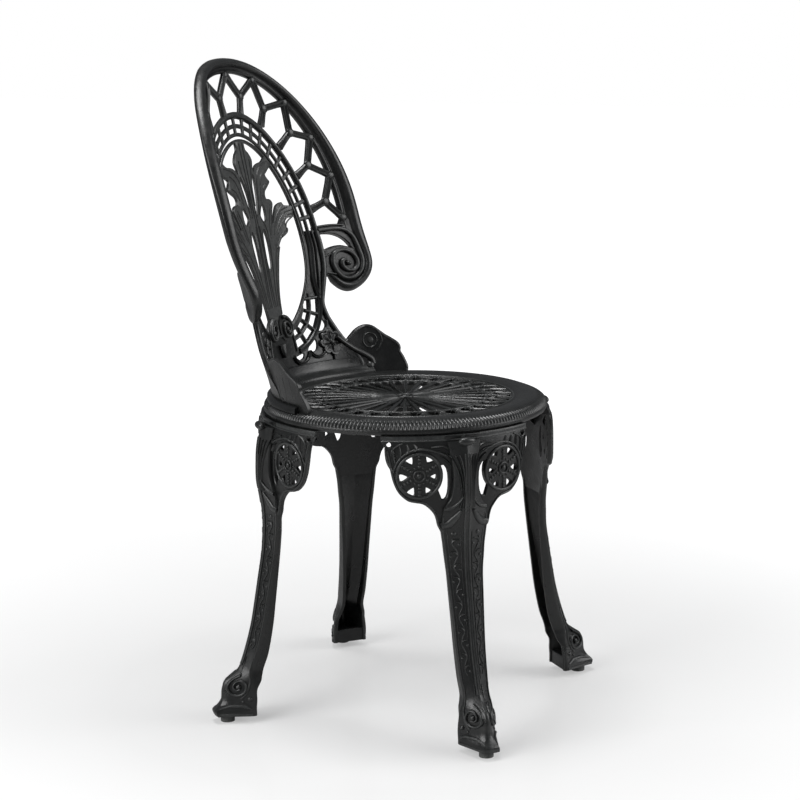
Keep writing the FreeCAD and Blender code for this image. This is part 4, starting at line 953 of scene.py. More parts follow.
        # Scalloped ring: the outer ends of the windows are small arches
        shares = [k / 8 for k in range(9)]
        sector.patch(self.deck, [at(s.ring - 7.5 + 6 * math.sin(math.pi * t) ** 0.6, t) for t in shares],
                     [at(s.ring + 2.4, t) for t in shares],
                     lambda u, v: -0.6 + 1.6 * math.sin(math.pi * min(v * 1.5, 1.0)), self.BOTTOM, 8, 5)
        mesh = sector.mesh
        bmesh.ops.spin(mesh, geom=mesh.verts[:] + mesh.edges[:] + mesh.faces[:], cent=(0, 0, 0), axis=(0, 0, 1),
                       angle=math.radians(step) * (s.spokes - 1), steps=s.spokes - 1, use_duplicate=True)
        casting.absorb(mesh)

    def rings(self, casting: Casting) -> None:
        """Hub disc with a bead and a button, and the two rings that tie the lattice."""
        s = self.sizes
        pen = Pen(casting, self.deck)
        casting.revolve(self.HUB, 180.0, 96)
        for radius, spacing, bar in ((11.5, 1.6, Bar(Profile.ROLL, 3.0, 0.4, 1.8, -1.0)),
                                     (s.ring + 1.6, 2.2, Bar(Profile.ROLL, 2.8, -0.8, 2.0, self.BOTTOM)),
                                     (s.field - 0.6, 2.6, Bar(Profile.ROLL, 4.2, -1.2, 1.6, self.BOTTOM))):
            pen.trace(arc((0, 0), radius, 0, 360, spacing), bar, ring=True)
        pen.knob((0, 0), 6.5, 0.4, 2.6, 16)


# Back

class Backrest(Assembly):
    """Oval pierced back: hoop with volutes, forked lattice, band, leaf spray, foot and wings."""

    sizes = BackSizes()
    face = BackFace()

    # Lattice, from the band to the hoop; the first joint is just beside the middle, so that the two halves meet
    STEMS = ((23.7, 832), (68.4, 813.5), (96.6, 781.5), (116.5, 738), (125, 687))
    FORKS = ((30.6, 858.4), (79.8, 837.7), (120, 801), (138.2, 752.6), (152.7, 697.8))
    JOINTS = ((0.6, 890.4), (66, 879.5), (120, 844.5), (151.5, 792), (169, 735.5), (173, 673))
    BRANCH = Bar(Profile.TWIN, 10.0, -1.8, 3.0, -5.4)
    KNOB = (6.0, -1.4, 3.0, 12)

    # Closed section of the hoop: share of the way from the outer to the inner edge, height, crest
    HOOP = ((0.0, -5.5, 0.1), (0.03, -2.5, 0.2), (0.08, 0.2, 0.3), (0.15, 2.6, 0.4), (0.24, 4.2, 0.6),
            (0.33, 4.8, 0.8), (0.42, 4.2, 0.6), (0.5, 2.6, 0.4), (0.57, 0.2, 0.2), (0.62, -1.6, 0.0),
            (0.68, -2.6, 0.0), (0.74, -2.6, 0.0), (0.79, -1.4, 0.3), (0.84, -0.6, 0.8), (0.9, -0.9, 0.5),
            (0.95, -2.2, 0.2), (0.99, -3.6, 0.1), (1.0, -6.0, 0.0), (0.96, -8.5, 0.0), (0.7, -9.8, 0.0),
            (0.4, -10.0, 0.0), (0.12, -10.0, 0.0), (0.03, -8.8, 0.0), (0.0, -7.4, 0.1))
    # Place in that section which its ends shrink to, their size, and its growth from section to section
    HOOP_CORE = (0.4, -4.0)
    HOOP_ENDS = (0.35, 0.16)
    # The section's rear is deeper at the hoop's shoulders: below which height, by how much, and where
    REAR_FROM = -7.0
    DEEPER = 2.2
    SHOULDER = (760.0, 110.0)

    # Half widths and rises of ovals round the band's middle: the inner edge of its outer bead, the edges of the
    # two thin beads with their height, the ends of the short bars, and the line along which these are spread
    BAND_INNER = (121.4, 173.4)
    BEADS = (((115.8, 166.4), (110.4, 160), 2.2), ((105.8, 154), (101.2, 148.4), 2.0))
    SHORT_ENDS = ((122.4, 174), (114, 164), (112, 162), (103.6, 151))
    SHORT_LINE = (110.0, 160.3)
    # The bead round the opening runs this far outside it
    OPENING_BEAD = 2.6

    THIN = Bar(Profile.ROLL, 3.2, -0.6, 2.4, -4.0)
    WEB_THIN = Bar(Profile.ROLL, 3.6, -0.6, 2.6, -4.2)
    VEIN = Bar(Profile.RIDGE, 3.0, -0.3, 1.5, -1.0)
    EDGING = Bar(Profile.ROLL, 2.4, -0.3, 1.3, -1.0)
    WING_BEAD = Bar(Profile.ROLL, 3.6, -1.4, 2.0, -3.0, 0.6)
    WING_THIN = Bar(Profile.ROLL, 2.8, -0.8, 1.8, -3.0, 0.8)
    WING_RIB = Bar(Profile.ROLL, 2.6, -1.0, 1.3, -2.0, 0.3)
    WING_ROLL = Bar(Profile.ROLL, 9.0, -2.4, 5.6, -3.0, 0.6)

    # Section of the foot and of the low flange behind it, over the bolts: radius, height, crest
    FOOT = ((168.4, 444, 0), (168.6, 449, 0.3), (170, 451.2, 0.8), (174, 452.4, 0.5), (178.8, 454.4, 0.5),
            (181.8, 458, 0.4), (183.4, 462, 0.4), (184.6, 469.4, 0.4), (185.6, 470.2, 0.1), (187, 469.6, 0),
            (187.2, 468, 0), (184, 450, 0), (183.6, 444, 0))
    FLANGE = ((183, 444, 0), (183, 453.8, 0.1), (189, 453.4, 0.4), (193.4, 452.6, 0.5), (195, 450.6, 0.3),
              (195.2, 444, 0))

    # Runs of the spray's edge from its crown to its stem, with a corner between each two
    SPRAY_EDGE = (
        [(12.5, 797), (12.5, 785), (19, 779), (25, 768.5), (22.5, 758), (22, 752)],
        [(24.5, 752), (30, 759), (38.5, 762.3), (48.5, 764), (57, 770)],
        [(70, 758), (56, 748), (51, 744.5), (53.8, 739.4), (58, 733.6), (51.5, 727.7), (42, 721), (40, 714.6)],
        [(41.5, 711), (50.5, 709), (54.5, 703), (50, 692), (43, 676)],
        [(46.5, 676), (53, 688), (60.5, 698.5), (69, 702.2), (75.5, 702.5), (79.3, 698), (94, 696.5)],
        [(94, 680), (82, 679.3), (75, 675), (73.5, 668.5), (78, 664), (74, 658), (66.4, 655), (58, 651), (50, 643)],
        [(49.4, 642), (42.8, 630), (35.5, 610), (29.3, 590), (24.4, 570), (21.6, 550), (21, 532), (18, 519),
         (12, 512)],
    )
    SLITS = (
        [(17, 748), (20.5, 744), (18.5, 722), (14, 700), (8.5, 688), (6.5, 696), (7.9, 720), (13, 738)],
        [(26.5, 704.5), (31, 701), (31, 686), (26.5, 679.5), (17.5, 687.5), (21.5, 697)],
        [(15, 670), (19.5, 668), (23, 650), (21.5, 622), (16, 611), (11, 622), (11.2, 650)],
    )
    VEINS = (
        [(3.4, 560), (3.2, 620), (2.8, 690), (3.6, 740), (4.6, 794)],
        [(8.6, 560), (7.4, 610), (6, 660), (5.2, 676)],
        [(5.6, 704), (7.4, 730), (13.6, 752), (15.6, 770)],
        [(13.6, 560), (17.4, 590), (22.6, 622), (25.6, 652), (23.2, 674), (15, 688), (14.8, 698), (20.6, 722),
         (26, 742), (38, 756), (60, 763)],
        [(25.6, 708), (30.6, 728), (37, 743), (48, 751)],
        [(34, 716), (40, 728), (49, 733.6)],
        [(31.6, 655), (34.6, 672), (40.6, 690), (46.6, 703)],
        [(36, 660), (42.4, 680), (50, 699)],
        [(18.4, 560), (23.4, 590), (31, 618), (38.6, 640), (48, 659), (60, 676), (74, 686.6), (93, 690.6)],
        [(42.6, 660), (50.6, 676), (60, 688.4), (71.6, 697)],
        [(46, 664), (56, 681), (68, 690.6), (84, 694.4)],
        [(52, 660), (64, 671.6), (80, 682.6), (93, 684.6)],
        [(43, 640), (55, 652.6), (66, 660.4), (75, 662)],
    )
    EDGINGS = (
        [(20.4, 548), (23.2, 568), (28, 588), (34.2, 608), (41.4, 628), (48.6, 641.4)],
        [(60.6, 654), (69, 657.2), (74.4, 661), (73, 667), (77, 673.4), (92, 681.4)],
    )

    # Right-hand wing: crown and outer edge, in degrees and z
    CROWN = ((40.5, 496), (42.2, 501.8), (44.7, 509.4), (47.7, 514.7), (50.5, 516), (53.2, 513.7), (55.9, 507.3),
             (58.5, 500.5), (61.2, 495), (64, 488.5))
    WING_EDGE = ((65.3, 482), (65.2, 475.5), (66.8, 466.5), (68.6, 453), (68.4, 445))
    WING_DEPTH = 6.4

    def build(self) -> None:
        """Makes all parts of the back."""
        paint, leaf = self.finishes.paint, self.finishes.leaf
        # The spray takes the paler leaf paint, a painted highlight
        for name, method, coat in (("back_rim", self.rim, paint), ("back_lattice", self.lattice, paint),
                                   ("back_band", self.band, paint), ("back_web", self.web, paint),
                                   ("back_spray", self.spray, leaf), ("back_foot", self.foot, paint)):
            casting = Casting()
            method(casting)
            self.dress(casting.finish(name), "backrest", coat)

    def rim(self, casting: Casting) -> None:
        """Hoop in one piece from side to side, small at its ends, and a volute round each of them."""
        pairs = self.hoop_pairs()
        core, level = self.HOOP_CORE
        smallest, growth = self.HOOP_ENDS
        rows = []
        for i, (outer, inner) in enumerate(pairs):
            size = min(1.0, smallest + growth * min(i, len(pairs) - 1 - i))
            deeper = self.DEEPER * bump(outer[1], *self.SHOULDER)
            row = []
            for place, height, crest in self.HOOP:
                share = core + (place - core) * size
                row.append((outer[0] + (inner[0] - outer[0]) * share, outer[1] + (inner[1] - outer[1]) * share,
                            level + (height - level) * size - (deeper if height < self.REAR_FROM else 0.0), crest))
            rows.append(row)
        casting.loft(self.face, rows)
        with casting.both_sides() as right:
            self.volute(right)

    def hoop_pairs(self) -> list[tuple[Point, Point]]:
        """Outer and inner edge of the hoop, from one volute's tip over the top to the other's."""
        s = self.sizes
        outer_end = [(196.5, 678), (195.9, 645), (194.3, 622), (191, 602), (183.5, 585), (171.4, 571.8), (156, 565),
                     (143, 569), (132, 580.5), (125, 590)]
        inner_end = [(170.5, 678), (170.3, 655), (173, 640), (175, 625), (174, 611), (169.5, 600.5), (162, 593),
                     (152, 590.5), (143, 594.5), (134, 603)]
        edges = []
        for half, top, power, end in ((s.half, s.top, s.power, outer_end),
                                      (s.inner_half, s.inner_top, s.inner_power, inner_end)):
            crown = resampled(oval(half, top - s.centre, (0, s.centre), 0, 90, 2.5, power), 72)
            edges.append(crown + resampled(curve(end, 2), 56)[1:])
        right = list(zip(*edges))
        left = [((-p[0], p[1]), (-q[0], q[1])) for p, q in reversed(right[1:])]
        return left + right

    def volute(self, casting: Casting) -> None:
        """Right-hand volute with its bar to the band."""
        pen = Pen(casting, self.face)
        outer = [(188, 672), (187.6, 645), (186.3, 625), (183, 606), (176, 590), (166.4, 579), (156, 573),
                 (146, 576), (137, 585.5), (124, 592)]
        top = [(124, 619), (131, 627), (143.5, 632.5), (156, 633.6), (164, 631.5), (171.3, 628.8)]
        gap = [(171.3, 629.2), (166, 640), (156.5, 647.6), (143.5, 651), (124, 651)]
        upper = [(124, 662.5), (138, 664.2), (150, 664.2), (164.5, 661.8)]
        outline = curve(outer, 4) + curve(top, 4) + curve(gap, 4)[1:] + curve(upper, 5) + [(170.3, 672)]
        casting.plate(self.face, outline, [], -1.6, -9.4, (14.0, 18.0), 1.2)
        pen.stroke([(128, 657.2), (145, 658.2), (160, 657.6), (170, 654), (176.6, 646.4), (178.6, 637), (179, 625),
                    (178.4, 612), (175.6, 601.4), (170.6, 592.8), (162.4, 586.6), (152, 584.8), (143.6, 589.6),
                    (138, 600), (137.4, 612), (143.4, 622.4), (155, 626.4), (165.4, 622.4), (170.6, 613.4),
                    (169.4, 602.8), (162.4, 596.4), (153.6, 597), (149, 603.6), (150.4, 610.4), (155.6, 612.2)],
                   Bar(Profile.ROLL, 7.6, -1.6, 5.6, -5.0), 1.7, fade(0.95, 0.8))
        pen.stroke([(126, 662), (145, 663.2), (160, 662.6), (169, 661.5)], self.THIN, 3)
        pen.stroke([(126, 652.4), (144, 652.6), (157, 649), (165.5, 642), (171, 634)], self.THIN, 3)
        pen.knob((158, 606.6), 3.6, -0.4, 4.2, 14)
        # Short bars that tie the volute to the band below the gap
        for near, far in ((618, 622), (596, 592)):
            pen.trace(line((124, near), (138, far), 5), self.THIN)

    def lattice(self, casting: Casting) -> None:
        """Stems from the band that fork to the hoop."""
        with casting.both_sides() as right:
            pen = Pen(right, self.face)
            for i, (stem, fork) in enumerate(zip(self.STEMS, self.FORKS)):
                pen.trace(line(stem, fork, 4), self.BRANCH, lambda t: 1.3 - 0.3 * min(1.0, t * 1.8))
                for joint in self.JOINTS[i:i + 2]:
                    pen.trace(line(fork, joint, 4), self.BRANCH, lambda t: 1.0 + 0.2 * max(0.0, t * 3 - 2))
                pen.knob(fork, 7.0, -1.2, 3.4, 14)
            for joint in self.JOINTS[1:]:
                pen.knob(joint, *self.KNOB)
        Pen(casting, self.face).knob((0, 890), *self.KNOB)

    def band(self, casting: Casting) -> None:
        """Upper half of the oval band: three beads, the bars between them and a bead round the opening."""
        s = self.sizes
        centre = (0.0, s.band_centre)

        def ring(out: Point, inside: Point, angle: float, back: float,
                 relief: Callable[[float, float], float]) -> None:
            """Bead between two ovals given by their half width and rise."""
            casting.patch(self.face, oval(*out, centre, -angle, angle), oval(*inside, centre, -angle, angle),
                          relief, back, 220)

        ring((s.band_half, s.band_top - s.band_centre), self.BAND_INNER, 93, -4.8,
             lambda u, v: -2.4 + 4.4 * math.sqrt(max(0.0, 1 - ((v - 0.42) / 0.46) ** 2)) - 0.4 * v)
        for out, inside, height in self.BEADS:
            ring(out, inside, 91, -4.0, lambda u, v: -2.6 + height * math.sin(math.pi * v) ** 0.6)
        half = s.opening_half + self.OPENING_BEAD
        middle = (0.0, s.opening_centre)
        opening = (oval(half, s.opening_top - s.opening_centre + self.OPENING_BEAD, middle, -90, 90)
                   + oval(half, s.opening_centre - s.opening_bottom + self.OPENING_BEAD, middle, 90, 270)[1:])
        pen = Pen(casting, self.face)
        pen.trace(opening, Bar(Profile.ROLL, 4.6, -2.2, 2.8, -4.4), ring=True)
        short = Bar(Profile.ROLL, 6.2, -3.2, 2.4, -4.2)
        with casting.both_sides() as right:
            for k, angle in enumerate(even_angles(*self.SHORT_LINE, s.cells)):
                turn = math.radians(angle)
                ends = [(half * math.sin(turn), s.band_centre + rise * math.cos(turn))
                        for half, rise in self.SHORT_ENDS]
                # The two at the top are their own mirror images
                side = Pen(right, self.face) if k else pen
                for start, end in (ends[:2], ends[2:]):
                    side.trace(line(start, end, 3), short, lambda t: 1 + 0.3 * abs(2 * t - 1) ** 3)

    def web(self, casting: Casting) -> None:
        """Waist and foot of the band: pierced sheet with rails, fans, small arches and a flower at each side."""
        self.web_sheet(casting)
        with casting.both_sides() as right:
            self.rails(right)
            self.flower(right, (106.0, 494.5), 20.5)

    def web_sheet(self, casting: Casting) -> None:
        """The sheet itself."""
        s = self.sizes
        side = curve([(129.5, 658), (130.6, 640), (129.2, 616), (125.5, 594), (117, 569), (112, 551), (115, 533),
                      (121, 517), (128, 498), (135.4, 478), (138, 460), (138, 447)], 6)
        lip = 1.5
        edge = oval(s.opening_half + lip, s.opening_centre - s.opening_bottom + lip, (0, s.opening_centre), 90, 270,
                    7)
        outline = side + mirrored(side) + [(-99, 658)] + edge[::-1] + [(99, 658)]
        # Two rings of openings between the bars of the fan
        bar = 2.7
        holes = []
        for k in range(s.fan_cells):
            high, low = -s.fan_step * k, -s.fan_step * (k + 1)
            for near, far in ((43.5, 52.0), (58.0, 69.5)):
                trims = [math.degrees(bar / radius) for radius in (near, far)]
                holes.append([polar(near, high - trims[0], s.fan), polar(near, low + trims[0], s.fan),
                              polar(far, low + trims[1], s.fan), polar(far, high - trims[1], s.fan)])
        holes += [curve([(101.5, 532), (106, 521), (99.5, 513), (87, 511), (90.5, 519)], 3),
                  curve([(82, 505), (83.5, 496), (78, 486), (64.5, 488), (74, 499)], 3),
                  curve([(35, 482), (54, 485), (52.5, 479.5), (44, 476.5)], 3)]
        holes += [mirrored(hole) for hole in holes]
        casting.plate(self.face, outline, holes, -1.6, -5.0, (12.0, 14.0), 0.6)

    def rails(self, casting: Casting) -> None:
        """Rails of the waist, small arches over the foot and ridges on the bars of the fan."""
        s = self.sizes
        pen = Pen(casting, self.face)
        pen.stroke([(125.3, 656), (126.4, 640), (124.9, 616), (121.3, 596), (113.2, 570), (107.8, 552),
                    (110.8, 533), (116.6, 518), (123.4, 499.5), (130.6, 479), (134.6, 467), (134.4, 454)],
                   Bar(Profile.ROLL, 8.0, -0.6, 3.8, -4.6), taper=fade(1.0, 0.85))
        pen.stroke([(117.2, 657), (117.8, 634), (112.6, 606), (108.6, 580), (104.2, 560)], self.WEB_THIN, 3)
        ring = [polar(73.5, angle, s.fan) for angle in range(0, -84, -6)]
        pen.stroke([(108.6, 657), (108.4, 634), (102.6, 607), (99.6, 585)] + ring,
                   Bar(Profile.TWIN, 8.2, -0.6, 3.0, -4.4))
        arch = Bar(Profile.TWIN, 5.4, -0.6, 2.8, -4.4)
        pen.stroke([(29, 484), (33, 477), (40, 472.4), (49, 471.4), (58, 475.6), (64.8, 485)], arch, 2)
        pen.stroke([(65.6, 486.5), (72, 479.5), (81, 476.5), (90, 479.5), (94, 484)], arch, 2)
        # Tie between ring and outer rail above the flower
        pen.stroke([(84, 509), (93, 511.5), (100, 512), (107, 519), (108, 527)], self.WEB_THIN)
        ridge = Bar(Profile.ROLL, 4.8, -1.8, 2.8, -4.0)
        for k in range(s.fan_cells + 1):
            pen.trace(line(polar(45, -s.fan_step * k, s.fan), polar(72, -s.fan_step * k, s.fan), 4), ridge)
        pen.stroke([polar(55, angle, s.fan) for angle in range(8, -84, -7)], ridge)

    def flower(self, casting: Casting, centre: Point, radius: float) -> None:
        """Eight-lobed flower with a raised outline."""
        pen = Pen(casting, self.face)
        spans = 96

        def lobes(share: float) -> list[Point]:
            """Wavy outline at a share of its size."""
            reaches = [radius * share * (0.76 + 0.24 * abs(math.cos(math.tau * 4 * i / spans)) ** 0.7)
                       for i in range(spans + 1)]
            return [polar(reach, 360 * i / spans, centre) for i, reach in enumerate(reaches)]

        def relief(u: float, v: float) -> float:
            """Crowned middle, raised outline and two waves to each lobe."""
            return (2.6 * (1 - v) ** 0.7 + 2.6 * bump(v, 0.86, 0.12)
                    + 2.25 * math.cos(16 * math.pi * u) * v * (1 - v) - 0.2)

        casting.patch(self.face, lobes(0.04), lobes(1.0), relief, -4.3, spans, ring=True)
        pen.knob(centre, 4.6, 1.2, 4.2, 14)
        for angle in range(0, 360, 45):
            pen.trace(line(polar(6.0, angle, centre), polar(radius * 0.8, angle, centre), 3),
                      Bar(Profile.RIDGE, 2.6, 0.0, 3.2, -2.0), fade(1.1, 0.4))

    def spray(self, casting: Casting) -> None:
        """Leaf spray of seven fronds on one stem, with two scrolls and a drop at its foot."""
        face = SprayFace()
        edge = [place for run in self.SPRAY_EDGE for place in curve(run, 2.6)]
        holes = [curve(slit + slit[:1], 3)[:-1] for slit in self.SLITS]
        holes += [mirrored(hole) for hole in holes]
        # The spray's front takes the full crest value, so wear and painted highlight cover it
        casting.plate(face, edge + mirrored(edge), holes, 0.0, -4.0, (9.0, 12.0), 0.9, 1.0)
        with casting.both_sides() as right:
            pen = Pen(right, face)
            for path in self.VEINS:
                pen.stroke(path, self.VEIN, 2.6, fade(1.0, 0.6))
            for path in self.EDGINGS:
                pen.stroke(path, self.EDGING, 2.4)
            self.scroll(right)
        drop = [(8.6, 506), (7.6, 500), (4.6, 493), (0.6, 486.6)]
        casting.patch(self.face, curve([(-a, b) for a, b in drop], 2), curve(drop, 2),
                      lambda u, v: 1.4 + 2.2 * math.sin(math.pi * v) + 0.8 * math.cos(6 * math.pi * v), -3.6, 12, 12)

    def scroll(self, casting: Casting) -> None:
        """Right-hand scroll at the spray's foot: a disc drawn out towards the stem, with a thick spiral roll."""
        centre = (21.5, 525.6)
        pointed = 118
        steps = 90

        def reach(angle: float) -> float:
            """Radius of the disc's edge."""
            return 17.0 + 6.0 * bump(angle, pointed, 42)

        turns = range(0, 361, 5)
        casting.patch(self.face, [polar(0.6, t, centre) for t in turns], [polar(reach(t), t, centre) for t in turns],
                      lambda u, v: 0.6 - 0.8 * v, -4.5, 0, 8, ring=True)
        path = []
        for i in range(steps + 1):
            angle = pointed - 6.4 * i
            radius = (reach((angle + 360) % 360) - 2.6) * (1 - 0.62 * (i / steps) ** 0.9)
            path.append(polar(radius, angle, centre))
        pen = Pen(casting, self.face)
        pen.trace(resampled(path, steps), Bar(Profile.ROLL, 5.4, -0.2, 4.6, -4.0), fade(1.05, 0.6))
        pen.knob(centre, 4.2, 0.4, 4.0, 16)

    def foot(self, casting: Casting) -> None:
        """Leaning foot on the seat rim and the two wings."""
        casting.revolve(self.FOOT, 52.0, 112)
        casting.revolve(self.FLANGE, 62.5, 104)
        with casting.both_sides() as right:
            self.wing(right)

    def wing(self, casting: Casting) -> None:
        """Right-hand wing: a plate whose raised edges curl into a scroll, on both faces."""
        front, rear = WingFace(), WingFace(self.WING_DEPTH)
        pen, outside = Pen(casting, front), Pen(casting, rear)

        def laid(points: Sequence[Point]) -> list[Point]:
            """Places in degrees and z, laid out in millimetres."""
            return [(a * WingFace.DEGREE, b) for a, b in points]

        outline = curve(laid(self.CROWN + self.WING_EDGE), 3.5) + laid([(33, 445), (33, 490)])
        casting.plate(front, outline, [], 0.0, -self.WING_DEPTH, (9.0, 12.0), 1.2)
        # The bead runs just inside the edge, on both flanks of the crown and down the outer edge
        top = 50 * WingFace.DEGREE
        inside = [(a - (1.2 if a > top else -1.8), b - 2.2) for a, b in laid(self.CROWN)]
        inside += [(a - 2.6, b) for a, b in laid(self.WING_EDGE)]
        for side in (pen, outside):
            side.stroke(inside, self.WING_BEAD)
        eye = laid([(51.2, 493.3)])[0]
        pen.trace(arc(eye, 10.5, 0, 360, 2.0), self.WING_THIN, ring=True)
        pen.trace(arc(eye, 18.0, -60, 50, 2.2), self.WING_THIN, swell(0.6, 0.5))
        pen.knob(eye, 6.0, -0.8, 1.6, 16)
        for a in (44.0, 49.0, 54.0, 59.0):
            outside.stroke(laid([(a, 456), (a + 0.6, 472), (a, 490)]), self.WING_RIB, 4, fade(1.0, 0.5))
        # Roll that sweeps down from the back's rail and ends in a ball
        pen.stroke(laid([(35.5, 503), (39, 493), (43.6, 482), (48, 474), (51.4, 466), (52.2, 459)]), self.WING_ROLL,
                   2, fade(0.75, 1.1))
        pen.knob(laid([(50.6, 456.6)])[0], 7.0, -1.0, 6.6, 18)


# Legs

@dataclass(frozen=True)
class LegSizes:
    """Driving sizes of a leg, in its own frame."""

    wall: float = 6.0
    wheel: Point = (62.1, 375.0)
    bottom: int = 10
    ankle: int = 90
    top: float = 419.5
    lug_height: float = 425.0
    rib_x: float = 204.0


class Legs(Assembly):
    """Four legs from one pattern: channel shaft, scrolled foot, pierced bracket under the seat."""

    sizes = LegSizes()
    drum = DrumFace()

    # Openings of a wheel, rounded triangles that point at its hub, the two next to the corner smaller: middle,
    # size and width
    OPENINGS = ((83.4, 372.8, 1.0, 1.0), (74.4, 395.4, 1.0, 1.0), (47.6, 397.4, 0.95, 1.5),
                (42.8, 373.4, 0.66, 1.0), (51.0, 355.2, 0.72, 1.0), (72.6, 353.8, 1.0, 1.0))
    # One such triangle: places outwards and across
    TRIANGLE = ((-6.2, 0), (-3.4, 2.2), (1.2, 4.6), (3.8, 5.2), (5.2, 3.8), (5.6, 0), (5.2, -3.8), (3.8, -5.2),
                (1.2, -4.6), (-3.4, -2.2))

    def build(self) -> None:
        """Makes one leg and places it four times."""
        pattern = Casting()
        self.shaft(pattern)
        self.bracket(pattern)
        self.corner(pattern)
        self.underside(pattern)
        for side in (-1, 1):
            self.flange(pattern, FlangeFace(side))
            self.wheel(Pen(pattern, self.drum, side=side))
        for name, angle in LEG_ANGLES.items():
            self.dress(pattern.finish(name + "_leg_cast", angle), name + "_leg", self.finishes.paint)

    def shaft(self, casting: Casting) -> None:
        """Channel shaft, foot and corner rib, one skin from the sole to the seat."""
        s = self.sizes
        # Close sections over the foot, wider apart up the shaft
        heights = [*range(s.bottom, s.ankle, 2), *range(s.ankle, int(s.top), 5), s.top]
        rows = []
        for z in heights:
            corner, nose, edge, half, inner = FlangeFace.SHAPE.at(z)
            slope = (corner - edge) / (half - nose)
            thick = s.wall * math.sqrt(1 + slope * slope)
            lip = half - s.wall * 0.9
            web = max(corner - thick - slope * max(lip - nose, 0), inner + 1.5)
            # Round the corner's rib, over the flange and its edge, and back along the inside
            side = [(corner + 0.6, 0.0, 1.0), (corner + 0.1, nose * 0.6, 0.7), (corner - 1.0, nose * 1.2, 0.4)]
            side += [(corner + (edge - corner) * t, nose + (half - nose) * t, 0.35) for t in (0.25, 0.5, 0.75, 0.93)]
            side += [(edge + 0.2, half - 0.5, 0.6), (edge - 1.4, half, 0.5), (edge - 4.5, half - 0.1, 0.2),
                     (inner + 0.8, half - 1, 0.0), (inner, half - 2.2, 0.0), (inner, lip - 0.3, 0.0),
                     (web, lip - 0.6, 0.0), (corner - thick, nose * 0.5, 0.0)]
            rows.append([(x, y, z, crest) for x, y, crest in side]
                        + [(x, -y, z, crest) for x, y, crest in reversed(side[1:])])
        casting.loft(PLAIN, rows)

    def bracket(self, casting: Casting) -> None:
        """Pierced skirt with its rail and bead under the seat."""
        hub = self.sizes.wheel
        right = curve([(30.6, 286), (33, 296), (37.5, 305), (39.2, 313), (42.5, 321.5), (50.4, 330.8),
                       (58.5, 336.3), (67.5, 338), (78.1, 341), (89.7, 351.4), (96.6, 365.2), (100.7, 381.3),
                       (103.5, 397.4), (107, 411), (113.5, 423.5)], 4)
        holes = []
        for x, z, size, wide in self.OPENINGS:
            turn = math.atan2(z - hub[1], x - hub[0])
            holes.append([(x + size * (out * math.cos(turn) - across * wide * math.sin(turn)),
                           z + size * (out * math.sin(turn) + across * wide * math.cos(turn)))
                          for out, across in self.TRIANGLE])
        # Crescent between wheel and corner, and the small hole in the tip
        holes.append([polar(32.4, angle, hub) for angle in (156, 168, 180, 192, 204, 218)]
                     + [(31.5, 341.5), (28, 341.4), (25.2, 344.4), (23.4, 349.6), (22.4, 357), (22.2, 367),
                        (22.8, 376), (24.6, 383), (28.4, 388.6)])
        holes.append([polar(3.6, angle, (103, 417)) for angle in range(0, 360, 30)])
        holes += [mirrored(hole) for hole in holes]
        casting.plate(self.drum, right + mirrored(right), holes, 0.0, -self.sizes.wall, (7.0, 18.0), 0.9)
        for half, z, bar in ((113.6, 424.5, Bar(Profile.FLAT, 7.0, -1.2, 0.8, -9.0)),
                             (113.0, 421.6, Bar(Profile.ROLL, 2.2, -0.8, 1.8, -3.0))):
            Pen(casting, self.drum).trace(line((-half, z), (half, z), 3.4), bar)

    def wheel(self, pen: Pen) -> None:
        """Relief of one wheel, the leafy tip over it and the edge beads."""
        hub = self.sizes.wheel
        pen.trace(arc(hub, 29.9, 0, 360, 2.2), Bar(Profile.ROLL, 4.6, -0.6, 3.2, -3.0), ring=True)
        pen.trace(arc(hub, 7.4, 0, 360, 1.6), Bar(Profile.ROLL, 2.6, -0.4, 2.4, -3.0), ring=True)
        pen.knob(hub, 3.8, 0.0, 3.0, 12)
        for angle in range(0, 360, 60):
            # Arms between the openings, each a row of beads
            for radius, size in ((12.6, 2.6), (17.4, 2.4), (22.2, 2.8), (26.6, 2.4)):
                pen.knob(polar(radius, angle + 30, hub), size, -0.4, size * 0.95)
            pen.knob(polar(11.8, angle, hub), 1.8, -0.4, 1.7)
        # Blades that rise from the wheel's outer side to the tip
        for k in range(5):
            start = polar(34.0, 8 + 17 * k, hub)
            end = (107.0 - 9.5 * k, 413.0 + min(k, 3) * 1.6)
            pen.stroke(bowed(start, end, 2.0 - 1.6 * k, -2.0), Bar(Profile.RIDGE, 4.2, -0.4, 2.6, -2.0),
                       taper=swell(0.55, 0.75, 0.15, 0.8))
        pen.stroke([(84, 419), (91, 416), (97.5, 410.5), (99, 403)], Bar(Profile.ROLL, 2.4, -0.4, 2.0, -2.0), 2)
        # Edge bead round the wheel's outside
        pen.stroke([(31.4, 298), (36, 306.5), (37.6, 314), (41, 323), (49.2, 332.8), (57.6, 338.6), (67, 340.4),
                    (76.6, 343.2), (87.6, 353), (94.4, 366), (98.4, 381.8), (101.2, 397.6), (104, 409)],
                   Bar(Profile.ROLL, 3.0, -0.8, 2.2, -3.0))
        # Leaves between the corner and the wheel
        for start, end, bulge in (((12, 404), (46, 413), 5.0), ((16, 396), (42, 408.4), 3.5),
                                  ((20, 388), (33, 400), 2.0)):
            pen.stroke(bowed(start, end, 0.0, bulge), Bar(Profile.RIDGE, 3.8, -0.6, 3.0, -2.0), 2.2, fade(1.1, 0.6))
        # Arched bead over the wheel
        pen.stroke([(24, 400), (40, 407.4), (60, 411), (78, 406.4), (90, 395.6), (96.4, 382)],
                   Bar(Profile.ROLL, 3.2, -0.6, 2.6, -2.0), 2.4)

